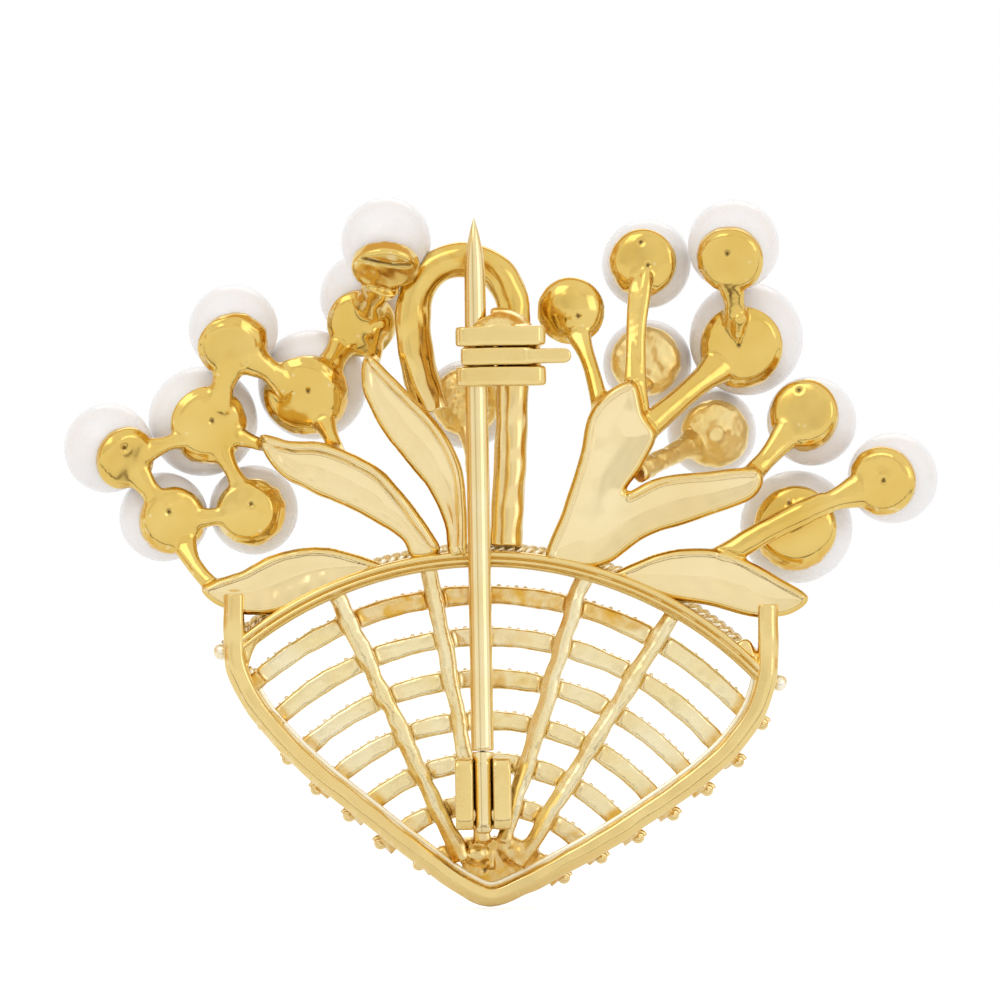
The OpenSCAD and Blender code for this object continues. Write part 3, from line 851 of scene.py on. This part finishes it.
def casting(name, cups, stems, leaves, seed, replaces, extra=None, melt=None):
    """Cups, stems and leaves fused into one polished casting, with room for the pearls. melt is the
    middle and radius of a region where the metal has run together."""
    s = Solid()
    for k in cups:
        cup(s, k)
    for make in stems:
        make(s)
    for leaf in leaves:
        s.plate(leaf.outline, leaf.y)
    v, f = fused(s)
    v = relax(v, f, 3)
    bloom = np.zeros(len(v))
    for k in cups:
        b = BLOOMS[k]
        off = norm(v - cup_back(b), axis=1)
        bloom = np.maximum(bloom, 1 - ramp(b[2] + 0.8, b[2] + 1.8, off))
    v = fill_hollows(v, f, 34 if FINE else 17, 0.3 + 0.7 * bloom)
    pale = np.zeros(len(v))
    for leaf in leaves:
        v, pale = leaf.shape(v, pale)
    v = relax(v, f, 6)
    if melt:
        share = 1 - ramp(melt[1] * 0.6, melt[1], norm(v - np.array(melt[0]), axis=1))
        v = v + (relax(v, f, 70, False) - v) * share[:, None]
    # deep: the bare cup walls, which the material paints with amber shade
    deep = side_wall(v, cups)
    v = v + normals_of(v, f) * (deep * waves(seed + 40, 24, 1.3)(v) * 0.028)[:, None]
    v = liquid(v, f, seed, 0.015)
    v, pit = pit_marks(v, normals_of(v, f))
    if extra:
        v, more = extra(v)
        pit = np.maximum(pit, more)
    v = clear_pearls(v, BLOOMS)
    return piece(name, v, f, CAST, replaces=replaces, pit=pit, deep=deep, pale=pale)


# ---------------------------------------------------------------- the castings that carry pearls
left_leaves = [
    Leaf(UPPER_LEFT, (1.4, 2.4), 0.30, (1, 0.45), 0.6, 0.16),
    Leaf(MIDDLE_LEFT, (1.6, 2.7), 0.32, (0.5, 1), 0.65, 0.14),
    Leaf(LOWER_LEFT, (1.9, 3.0), 0.10, (0.2, 1), 0.45, 0.20),
]


def slit_of_h(v):
    """The narrow cut across the topmost cup's back."""
    line = [on_back("h", x, z, 0.3) for x, z in ((-6.1, 16.55), (-5.3, 16.4), (-4.4, 16.2), (-3.5, 16.15))]
    return slit(v, np.array(line), 0.13, 0.14)


def face_of_g(s):
    """The broad pad that carries bloom G."""
    return s.lathe([(0, -0.08), (1.0, -0.02), (1.5, 0.1), (1.75, 0.35), (1.7, 0.9), (0, 1.0)],
                   (-5.95, 4.3, 13.2), (0.05, 0.95, 0.3), 64)


casting(
    "left_casting",
    "abcdefgh",
    [
        join("a", "c", [0.6, 0.5, 0.58]),
        join("a", "b", [0.62, 0.52, 0.66], flare=(0.3, 0.35)),
        join("b", "g", [0.66, 0.6, 0.7], flare=(0.35, 0.3)),
        join("c", "d", [0.4, 0.33, 0.42]),
        join("c", "f", [0.44, 0.36, 0.44]),
        join("d", "e", [0.46, 0.4, 0.5]),
        join("e", "f", [0.4, 0.34, 0.4]),
        join("g", "h", [0.85, 0.62, 0.8], 0.25),
        face_of_g,
        branch("e", (-13.3, 2.4, 0.1), [0.44, 0.38, 0.42], (-0.25, 0, 0)),
        branch("b", (-7.0, 2.1, 6.6), [0.44, 0.38, 0.42]),
        branch("c", (-9.7, 2.35, 6.8), [0.32, 0.3, 0.16]),
        branch("g", (-5.4, 2.2, 11.2), [0.44, 0.36, 0.36]),
    ],
    left_leaves,
    3,
    ["left_spray", "upper_spray", "upper_left_leaf", "middle_left_leaf", "lower_left_leaf"],
    extra=slit_of_h,
    melt=((-5.1, 4.2, 13.7), 2.1),
)


def blade_fold(xz):
    """The right lobe turns away from the main blade along a fold."""
    lobe = ramp(0.0, 1.3, (xz[:, 0] - 7.3) * 0.7 - (xz[:, 1] - 4.9) * 0.72)
    return 0.16 * lobe * (1 - ramp(4.0, 7.5, xz[:, 0] - 7.0))


twin_left = [on_back("j", 7.9, 15.6, -0.1), on_back("j", 7.75, 14.9, 0.1)]
twin_left += [(7.6, 3.0, 12.6), (7.6, 2.2, 10.4)]
twin_right = [on_back("j", 8.35, 16.1, -0.1), on_back("j", 8.25, 15.2, 0.15)]
twin_right += [(7.95, 2.9, 12.4), (7.95, 2.1, 8.9)]
link_on_m = [on_back("m", 12.9, 12.6, -0.1), on_back("m", 13.0, 13.6, 0.1)]
link_on_m.append(cup_side(BLOOMS["m"], cup_back(BLOOMS["l"])))
casting(
    "right_casting",
    "ijlmo",
    [
        branch("i", (6.05, 2.15, 9.0), [0.38, 0.38, 0.5], (0.12, 0, 0)),
        ridge(twin_left, [0.2, 0.36, 0.3, 0.34], flare=(0, 0.1)),
        ridge(twin_right, [0.16, 0.36, 0.32, 0.4], flare=(0, 0.15)),
        join("l", "m", [0.55, 0.46, 0.55]),
        ridge(link_on_m, [0.2, 0.4, 0.45], flare=(0, 0)),
        branch("m", (8.2, 2.15, 8.0), [0.66, 0.56, 0.7]),
        branch("o", (13.3, 2.25, 5.45), [0.56, 0.48, 0.56], (-0.15, 0, -0.2)),
    ],
    [Leaf(BLADE, (1.6, 2.7), 0.2, (-0.75, 0.65), 0.5, 0.14, blade_fold)],
    5,
    ["right_blade_leaf", "bud_stem", "inner_stems", "tall_stem", "outer_stem"],
)

stem_bend = cup_back(BLOOMS["q"]) + np.array([0.51, -0.5, 0.91])
past_bend = stem_bend + np.array([1.1, 0.1, 0.55])
casting(
    "side_casting",
    "pq",
    [
        branch("p", tuple(stem_bend), [0.62, 0.52, 0.6]),
        ridge(
            [past_bend, stem_bend, (14.2, 2.25, 2.9), (12, 2.35, 1.6), (10.4, 2.6, 0.9)],
            [0.5, 0.62, 0.6, 0.6, 0.2],
            flare=(0, 0),
        ),
    ],
    [Leaf(LOWER_RIGHT, (1.9, 3.0), 0.10, (0, 1), 0.45, 0.16)],
    7,
    ["side_spray", "lower_right_leaf"],
)


# ---------------------------------------------------------------- the three raw cups that lie deeper
def raw_bloom(name, key, stems, seed, replaces, peg=False):
    s = Solid()
    cup(s, key)
    for make in stems:
        make(s)
    if peg:
        b = BLOOMS[key]
        at = cup_back(b) - axis_of(b) * 0.1
        s.lathe([(0, 0), (0.36, 0.0), (0.42, 0.06), (0.42, 0.3), (0, 0.3)], at, axis_of(b), 40)
    v, f = fused(s, 0.07 if FINE else 0.1)
    v = relax(v, f, 3)
    v = fill_hollows(v, f, 16, 1.0)
    rough = waves(seed, 40, 0.6)(v) * 0.008 + waves(seed + 1, 20, 1.4)(v) * 0.026
    v = v + normals_of(v, f) * rough[:, None]
    v = clear_pearls(v, key)
    piece(name, v, f, RAW, replaces=replaces)


raw_bloom("deep_bloom_k", "k", [branch("k", (7.9, 2.4, 9.5), [0.38, 0.36, 0.38])], 11, [])
raw_bloom("deep_bloom_n", "n", [branch("n", (7.9, 2.2, 5.9), [0.56, 0.5, 0.56])], 12, ["short_stem"], True)
raw_bloom("deep_bloom_s", "s", [branch("s", (0.1, 2.6, 2.1), [0.38, 0.36, 0.38])], 13, ["centre_spray"])

# ---------------------------------------------------------------- handle
arch = []
for k in range(19):
    a = pi * (1 - k / 18)
    arch.append((-0.85 + 2.505 * cos(a), 3.0, 14 + 2.505 * sin(a)))
left_limb = [(-2.4, 3.0, 8.9), (-3.0, 3.0, 10.9), (-3.3, 3.0, 12.6)]
right_limb = [(1.66, 3.0, 12.2), (1.62, 3.0, 9.6), (1.5, 3.0, 6.4), (1.28, 3.0, 2.2)]
handle_path = catmull(left_limb + arch + right_limb, False, 5)
# outer side first: a narrow facet, a ridge, the broad facet and the rounded inner edge
section = [
    (-0.82, 0.3), (-0.82, -0.1), (-0.74, -0.3), (-0.5, -0.5), (-0.3, -0.58), (-0.1, -0.6), (0.2, -0.54),
    (0.5, -0.42), (0.68, -0.28), (0.8, -0.05), (0.82, 0.35), (0.62, 0.6), (0, 0.62), (-0.62, 0.6),
]
turned = np.linspace(0, 1, len(handle_path))
handle = Solid().sweep(handle_path, section, np.stack([1 + 0.08 * (1 - turned), np.ones(len(turned))], 1))
v, f = fused(handle)
v = relax(v, f, 4)
v = liquid(v, f, 21, 0.035, 3.2)
v = clear_pearls(v, "h", 0.03)
# deep: amber patches on the arch top, painted shade standing in for the shading of its rounded top
patches = ramp(0.5, 1.3, waves(23, 10, 2.4)(v)) * ramp(12.0, 14.5, v[:, 2])
# pale: painted highlight, paler lower down the limbs
painted_highlight = 0.6 * (1 - ramp(9, 13, v[:, 2]))
piece("handle", v, f, CAST, replaces=["handle_arch"], deep=patches, pale=painted_highlight)


# ---------------------------------------------------------------- basket
def round_basket(r, turn, y):
    """A point at a radius from the basket's centre, turned from upright."""
    return (BASKET[0] + r * sin(turn), y, BASKET[1] + r * cos(turn))


def arc_points(r, a, b, y, step=0.5):
    """Points on an arc round the basket's centre, lengths a left and b right of upright."""
    n = max(4, int((a + b) / step))
    return [round_basket(r, (-a + (a + b) * k / n) / r, y) for k in range(n + 1)]


frame_path = [(x, sum(FRAME_Y) / 2, z) for x, z in catmull(FRAME_LINE, False, 5)]
top_left = (frame_path[0][0], frame_path[0][1], -0.2)
basket = Solid()
frame_section = [
    (-0.52, 0.8), (-0.52, -0.5), (-0.46, -0.68), (-0.34, -0.78), (0.12, -0.8), (0.3, -0.74), (0.42, -0.6),
    (0.5, -0.5), (0.52, -0.3), (0.52, 0.8),
]
basket.sweep([top_left] + frame_path + [(14.4, 2.2, -0.7)], frame_section)
basket.sweep(arc_points(RIM_R, RIM_LEFT, RIM_RIGHT, 2.3), rounded(0.7, 1.3, 4.0, 28))
# the rim bends down into the frame at both ends
for side, x, z in ((-1, -12.02, -4.6), (1, 13.98, -4.7)):
    reach = (RIM_LEFT if side < 0 else RIM_RIGHT) - 2.2
    t = side * reach / RIM_R
    start = round_basket(RIM_R - 0.05, t, 2.25)
    bend = catmull([start, (x - side * 0.62, 2.25, z + 1.95), (x, 2.25, z)], False, 8)
    basket.sweep(bend, rounded(0.6, 1.3, 3.5, 20), np.linspace(1, 0.7, len(bend)))
v, f = fused(basket)
v = relax(v, f, 3)
v = fill_hollows(v, f, 14, 1.0)
v = liquid(v, f, 31, 0.022, 3.0)
# pale: a painted highlight, a paler tint over the whole frame
piece("basket_casting", v, f, CAST, replaces=["basket_frame"], pale=np.full(len(v), 0.45))

# the rim: a rounded outer ridge, a fine groove, a flat and a lower lip
rim_section = [
    (-0.38, 0.5), (-0.38, -0.52), (-0.33, -0.66), (-0.24, -0.74), (-0.14, -0.76), (-0.05, -0.7),
    (-0.02, -0.62), (0.02, -0.62), (0.05, -0.7), (0.14, -0.73), (0.2, -0.7), (0.25, -0.56),
    (0.27, -0.42), (0.33, -0.38), (0.41, -0.4), (0.45, -0.3), (0.45, 0.5),
]
rail = Solid().sweep(arc_points(RIM_R, RIM_LEFT - 0.2, RIM_RIGHT - 0.2, 2.25, 0.2), rim_section)
v, f = plain(rail)
v[:, 1] += waves(35, 8, 3.0)(v) * 0.01
# pale: a painted highlight, a paler tint over the whole rim
piece("rim_rail_skin", v, f, CAST, replaces=["rim_rail"], pale=np.full(len(v), 0.35))

# the frame's front flange, seen as a pale step inside the back edge
inner = [(x, 3.05, z) for x, z in catmull(FRAME_LINE[2:-2], False, 5)]
flange = Solid().sweep(inner, [(-0.74, -0.3), (-0.7, -0.36), (-0.4, -0.36), (-0.4, 0.5), (-0.74, 0.5)])
v, f = plain(flange)
v[:, 1] += waves(36, 8, 2.0)(v) * 0.012
piece("frame_flange", v, f, ROPE)

weave = Solid()
bar_mid = sum(BAR_Y) / 2
for i, r in enumerate(BAR_R):
    run = np.array(arc_points(r, BAR_LEFT[i], BAR_RIGHT[i], bar_mid, 0.35))
    wide = 1 + 0.06 * waves(50 + i, 5, 3.0)(run)
    run[:, 1] += 0.03 * waves(60 + i, 6, 3.0)(run)
    weave.sweep(run, rounded(BAR_W, 0.8, 5.0, 24), np.stack([wide, np.ones(len(run))], 1))
    # the step block where a bar lands on the frame
    for end, turn in ((-BAR_LEFT[i], 1), (BAR_RIGHT[i], -1)):
        seg = [round_basket(r, (end + turn * q) / r, 2.95) for q in (0.1, 0.85)]
        weave.sweep(seg, rounded(BAR_W * 0.94, 0.8, 6.0, 20))
for i, (a, b) in enumerate(RIBS):
    a, b = np.array(a), np.array(b)
    line = a + (b - a) * np.linspace(0, 1, 43)[:, None]
    line = line[norm(line - np.array(BASKET), axis=1) < RIM_R - 0.05]
    path = np.stack([line[:, 0], np.full(len(line), 2.62), line[:, 1]], 1)
    wob, side = waves(70 + i, 8, 2.4), waves(80 + i, 6, 3.4)
    path[:, 0] += 0.06 * side(path)
    path[:, 1] += 0.03 * wob(path + 9)
    wide = 1 + 0.07 * wob(path)
    # a flat back with a slanting shoulder on its right
    rib_section = [
        (-0.43, 0.42), (-0.43, -0.2), (-0.36, -0.36), (-0.1, -0.44),
        (0.12, -0.36), (0.3, -0.2), (0.42, -0.12), (0.43, 0.42),
    ]
    weave.sweep(path, rib_section, np.stack([wide, np.ones(len(path))], 1))
for x, z, r in ((-0.1, -13.2, 0.62), (1.7, -13.05, 0.72), (1.15, -12.8, 0.5)):
    weave.ball((x, 2.9, z), r)
weave.sweep([(0.55, 2.75, -12.4), (0.6, 2.8, -13.9)], rounded(0.3, 0.5, 3.0, 16))
weave.plate(
    [(-1.2, -13.1), (-0.6, -12.5), (2.0, -12.5), (3.0, -12.9), (2.5, -13.9), (0.5, -14.8), (-0.7, -14.2)],
    (2.75, 3.1),
)
v, f = fused(weave, 0.078 if FINE else 0.12)
v = relax(v, f, 3)
v = fill_hollows(v, f, 16, 1.0)
hammered = waves(33, 30, 1.0)(v)
v = v + normals_of(v, f) * (waves(34, 14, 2.2)(v) * 0.014 + hammered * 0.007)[:, None]
v, pit = pit_marks(v, normals_of(v, f))
# deep: amber painted shade in patches along the hammered dents in the middle, towards the bottom, and where
# the bars meet the frame
middle = np.exp(-(((v[:, 0] - 1.3) / 2.0) ** 2) - ((v[:, 2] + 4.4) / 2.6) ** 2)
middle *= ramp(2.8, 3.1, v[:, 1])
low = 1 - ramp(-12.8, -11.0, v[:, 2])
edge, _ = to_outline(v[:, [0, 2]], [(x, z) for x, _, z in frame_path])
ends = (1 - ramp(0.9, 1.3, edge)) * ramp(2.2, 2.5, v[:, 1])
deep = np.clip(middle * ramp(-0.6, 0.5, hammered) + 0.8 * low + ends, 0, 1)
weave_nodes = [f"bar_{i}" for i in range(1, 8)] + [f"rib_{i}" for i in range(1, 5)] + ["apex_pocket"]
piece("basket_weave", v, f, WEAVE, replaces=weave_nodes, deep=deep, pit=pit)

# beaded upper edges of the bars, and the curls at their ends
beads = Solid()
for i, r in enumerate(BAR_R):
    a, b = BAR_LEFT[i] - 0.4, BAR_RIGHT[i] - 0.4
    rr = r + BAR_W / 2 - 0.03
    for k, (x, y, z) in enumerate(arc_points(rr, a * rr / r, b * rr / r, BAR_Y[1] - 0.16, 0.44)):
        beads.ball((x, y, z), 0.105 + 0.03 * sin(k * 2.3 + i), 10)
v, f = plain(beads)
piece("bar_beading", v, f, ROPE)

curls = Solid()
for i, r in enumerate(BAR_R):
    rr = r + BAR_W / 2 - 0.17
    for end, side in ((-BAR_LEFT[i], -1), (BAR_RIGHT[i], 1)):
        t = (end + side * 0.04) / r
        cx, _, cz = round_basket(rr, t, 0)
        path, size = [], []
        for k in range(40):
            q = k / 39
            ang = pi / 2 + side * (3.4 * pi * q - 0.4) - t
            rad = 0.29 * (1 - q) ** 0.8
            path.append((cx + rad * cos(ang), bar_mid - 0.25 * q, cz + rad * sin(ang)))
            size.append(0.15 + 0.02 * sin(3 * pi * q))
        curls.sweep(path, rounded(2, 2, 2.0, 14), size)
        curls.ball((cx, bar_mid - 0.2, cz), 0.17, 16)
v, f = plain(curls)
# pale: a painted highlight, a paler tint over all the curls
piece("bar_curls", v, f, CAST, pale=np.full(len(v), 0.7))

# the rim's twisted rope
rope = Solid()
length = RIM_LEFT + RIM_RIGHT
steps = int(length / 0.09)
rope_y = FRAME_Y[1] + 0.42
for strand in range(2):
    path = []
    for k in range(steps + 1):
        t = (-RIM_LEFT + length * k / steps) / RIM_R
        a = 2 * pi * (k / steps * length / 0.95 + strand / 2)
        path.append(round_basket(ROPE_R + 0.17 * cos(a), t, rope_y + 0.17 * sin(a)))
    rope.sweep(path, rounded(0.48, 0.48, 2.0, 14))
for end in (-RIM_LEFT / RIM_R - 0.017, RIM_RIGHT / RIM_R + 0.017):
    rope.ball(round_basket(ROPE_R, end, rope_y), 0.43, 28)
v, f = plain(rope)
piece("rim_twist", v, f, ROPE, replaces=["rim_rope"])

# ---------------------------------------------------------------- pearls
tints = [(0.93, 0.88, 0.85), (0.925, 0.875, 0.845), (0.935, 0.895, 0.855)]
pearl_mats = [pearl_material(f"pearl_{i}", t) for i, t in enumerate(tints)]
for i, (key, b) in enumerate(BLOOMS.items()):
    seg, ring = (96, 48) if FINE else (48, 24)
    prof = [(sin(a), -cos(a)) for a in np.linspace(0, pi, ring + 1)]
    s = Solid().lathe([(0, -1)] + prof[1:-1] + [(0, 1)], (0, 0, 0), (0, 1, 0), seg)
    v, f = plain(s)
    lump = waves(100 + i, 6, 3.2)(v) * 0.006 + waves(130 + i, 8, 1.1)(v) * 0.0015
    v = v * (b[1] * (0.996 + lump))[:, None] + np.array(b[0])
    piece(f"pearl_{key}_skin", v, f, pearl_mats[i % 3], slot="pearl", replaces=[f"pearl_{key}"])

# ---------------------------------------------------------------- pin, hinge and catch
def leaned(v):
    """From the pin's own upright frame into the brooch's."""
    a = radians(PIN_LEAN)
    out = np.array(v, float)
    out[:, 0] = v[:, 0] * cos(a) - v[:, 2] * sin(a)
    out[:, 2] = v[:, 0] * sin(a) + v[:, 2] * cos(a)
    return out


def softened(name, material, voxel=0.0, rounds=0):
    """Keeps a CAD node and rounds its edges."""
    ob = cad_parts[name]
    ob.data.materials.clear()
    ob.data.materials.append(material)
    if voxel:
        skin = ob.modifiers.new("skin", "REMESH")
        skin.mode = "VOXEL"
        skin.voxel_size = voxel * MM
        skin.use_smooth_shade = True
        smooth = ob.modifiers.new("ease", "SMOOTH")
        smooth.factor = 0.5
        smooth.iterations = rounds
    return ob


softened("hinge_rivet", FIND)
softened("hinge_joint", FIND, 0.05, 40)
softened("catch_body", CATCH, 0.05, 60)
softened("catch_rotor", FIND, 0.045, 44)

# the pin stem: a straight wire, a slow taper and a rounded point
profile = [(0, STEM_Z), (STEM_R - 0.05, STEM_Z), (STEM_R, STEM_Z + 0.07)]
profile += [(STEM_R, z) for z in np.linspace(STEM_Z + 0.2, TAPER_Z, 59)]
for t in np.linspace(0.06, 1, 16):
    profile.append((STEM_R + (POINT_R - STEM_R) * t, TAPER_Z + (OGIVE_Z - TAPER_Z) * t))
for t in np.linspace(0.05, 0.99, 26):
    profile.append((POINT_R * (1 - t**2.1), OGIVE_Z + (TIP_Z - OGIVE_Z) * t))
profile.append((0, TIP_Z))
v, f = plain(Solid().lathe(profile, (0, 0, 0), (0, 0, 1), 64))
piece("pin_wire", leaned(v), f, PIN, body="stem", slot="pin_gold", replaces=["pin_stem"])

# the pin's flat end between the ears: a straight tongue with a rounded end
tongue = Solid()
path = [(0, 0, z) for z in np.linspace(NECK_Z - 0.35, RIVET_Z - 0.5, 12)]
half = 0.445
tongue.sweep(path, rounded(2 * half, 1.14, 3.2, 28))
tongue.sweep([(0, 0, RIVET_Z - 0.4), (0, 0, RIVET_Z - 0.7), (0, 0, RIVET_Z - 0.86), (0, 0, RIVET_Z - 0.94)],
             rounded(2 * half, 1.14, 3.0, 28), [(1, 1), (0.97, 0.95), (0.82, 0.75), (0.5, 0.4)])
tongue.sweep([(0, 0, STEM_Z), (0, 0, NECK_Z + 0.02), (0, 0, NECK_Z - 0.25), (0, 0, NECK_Z - 0.5)],
             rounded(1.14, 1.14, 2.3, 28), [(1, 1), (1, 1), (0.82, 1), (0.78, 1)])
v, f = fused(tongue, 0.05)
v = relax(v, f, 4)
# its top falls away from the middle, so that the wire can lean over it when it is sprung
room = STEM_Z - 0.004 - np.hypot(v[:, 0], v[:, 1]) * tan(radians(SPRING))
v[:, 2] = np.minimum(v[:, 2], room)
piece("pin_tongue", leaned(v), f, PIN, body="knuckle", slot="pin_gold", replaces=["pin_knuckle"])

# ---------------------------------------------------------------- stage
scene = bpy.context.scene
lo, hi = cad_bounds


def seen_directly(nt, kinds):
    """1 for the given kinds of ray."""
    rays = nt.nodes.new("ShaderNodeLightPath")
    total = rays.outputs[f"Is {kinds[0]} Ray"]
    for kind in kinds[1:]:
        total = maths(nt, "MAXIMUM", total, rays.outputs[f"Is {kind} Ray"])
    return total


def shader(nt, kind, colour, strength=None):
    node = nt.nodes.new(kind)
    node.inputs[0].default_value = (*colour, 1)
    if strength is not None:
        node.inputs[1].default_value = strength
    return node


world = bpy.data.worlds.new("studio")
scene.world = world
nt = fresh_tree(world)
ambient = shader(nt, "ShaderNodeBackground", (0.985, 0.99, 1.0), 0.90)
white = shader(nt, "ShaderNodeBackground", (1, 1, 1), 1.0)
mix = nt.nodes.new("ShaderNodeMixShader")
nt.links.new(seen_directly(nt, ("Camera", "Glossy", "Transmission")), mix.inputs[0])
nt.links.new(ambient.outputs[0], mix.inputs[1])
nt.links.new(white.outputs[0], mix.inputs[2])
output(nt, mix, "World")


def sheet_mesh(name, corners, material, faces=((0, 1, 2, 3),)):
    """A stage piece from corners and faces."""
    me = bpy.data.meshes.new(name)
    me.from_pydata(corners, [], faces)
    me.materials.append(material)
    ob = placed(name, me)
    return ob


floor_mat = bpy.data.materials.new("pale_floor")
nt = fresh_tree(floor_mat)
matte = shader(nt, "ShaderNodeBsdfDiffuse", (0.92, 0.92, 0.92))
glow = shader(nt, "ShaderNodeEmission", (1, 1, 1), 1.0)
to_camera = maths(nt, "MULTIPLY", seen_directly(nt, ("Camera",)), 0.42)
to_gloss = maths(nt, "MULTIPLY", seen_directly(nt, ("Glossy",)), 0.10)
nt.links.new(maths(nt, "ADD", to_camera, to_gloss), glow.inputs[1])
both = nt.nodes.new("ShaderNodeAddShader")
nt.links.new(matte.outputs[0], both.inputs[0])
nt.links.new(glow.outputs[0], both.inputs[1])
output(nt, both)
floor_z = lo.z - 0.0001
sheet_mesh("floor", [(x, y, floor_z) for x, y in ((-3, -3), (3, -3), (3, 3), (-3, 3))], floor_mat)


# cards that only reflections see: they draw the lines along rounded edges and tint flat faces
def card_material(name, colour, cloudy=None):
    m = bpy.data.materials.new(name)
    nt = fresh_tree(m)
    em = shader(nt, "ShaderNodeEmission", colour, 1.0)
    if cloudy:
        value = noise(nt, cloudy[0], 1.0)
        nt.links.new(span(nt, value, 0.32, 0.68, cloudy[1], cloudy[2]), em.inputs[1])
    output(nt, em)
    return m


def reflection_only(ob):
    for kind in ("camera", "diffuse", "transmission", "shadow"):
        setattr(ob, f"visible_{kind}", False)
    return ob


def band(name, start, end, near, far, material):
    """A strip of a tube round the Y axis, between two angles."""
    n, radius = max(4, int(abs(end - start) / 5)), 0.3
    vs = []
    for k in range(n + 1):
        a = radians(start + (end - start) * k / n)
        for y in (near, far):
            vs.append((radius * cos(a), y, radius * sin(a)))
    fs = [(2 * k, 2 * k + 1, 2 * k + 3, 2 * k + 2) for k in range(n)]
    return reflection_only(sheet_mesh(name, vs, material, fs))


DARK = card_material("dark_card", (0.11, 0.065, 0.02))
WARM = card_material("warm_card", (0.80, 0.56, 0.30))
CLOUDY = card_material("cloudy_card", (1.0, 0.985, 0.96), (1.5, 0.82, 1.03))
band("warm_ring", -8, 188, 0.03, 0.22, WARM)
band("warm_left", 150, 215, -0.12, -0.02, WARM)
near, far = -0.0134, -0.0172
strip = [(x, y, floor_z + 0.0002) for x, y in ((-0.1, near), (0.1, near), (0.1, far), (-0.1, far))]
reflection_only(sheet_mesh("dark_strip", strip, DARK))
card = [(x, -1.5, z) for x, z in ((-1.6, -1.6), (1.6, -1.6), (1.6, 1.6), (-1.6, 1.6))]
reflection_only(sheet_mesh("cloudy_card", card, CLOUDY))


def area(name, at, target, size, power, colour=(1, 1, 1)):
    light = bpy.data.lights.new(name, "AREA")
    light.shape = "RECTANGLE"
    light.size, light.size_y = size
    light.energy = power
    light.color = colour
    ob = placed(name, light)
    ob.location = at
    ob.rotation_mode = "QUATERNION"
    ob.rotation_quaternion = (Vector(target) - Vector(at)).to_track_quat("-Z", "Y")
    return ob


area("key", (-0.28, -0.42, 0.42), (0, 0, 0), (0.36, 0.30), 0.36, (1.0, 0.99, 0.97))
area("fill", (0.42, -0.40, 0.10), (0, 0, 0), (0.25, 0.40), 0.26, (0.98, 0.985, 1.0))
area("back", (0.05, 0.45, 0.40), (0, 0, 0), (0.40, 0.25), 0.25)

# ---------------------------------------------------------------- camera: straight at the back
camera = bpy.data.cameras.new("camera")
camera.sensor_width = 36
camera.lens = 800
cam = placed("camera", camera)
scene.camera = cam
view_width = 0.05
reference_y = 0.003
distance = view_width * camera.lens / camera.sensor_width
cam.location = (0.001, reference_y - distance, 0.0045)
cam.rotation_euler = (pi / 2, 0, 0)
camera.clip_start, camera.clip_end = 0.01, 20
scene.view_settings.view_transform = "Standard"
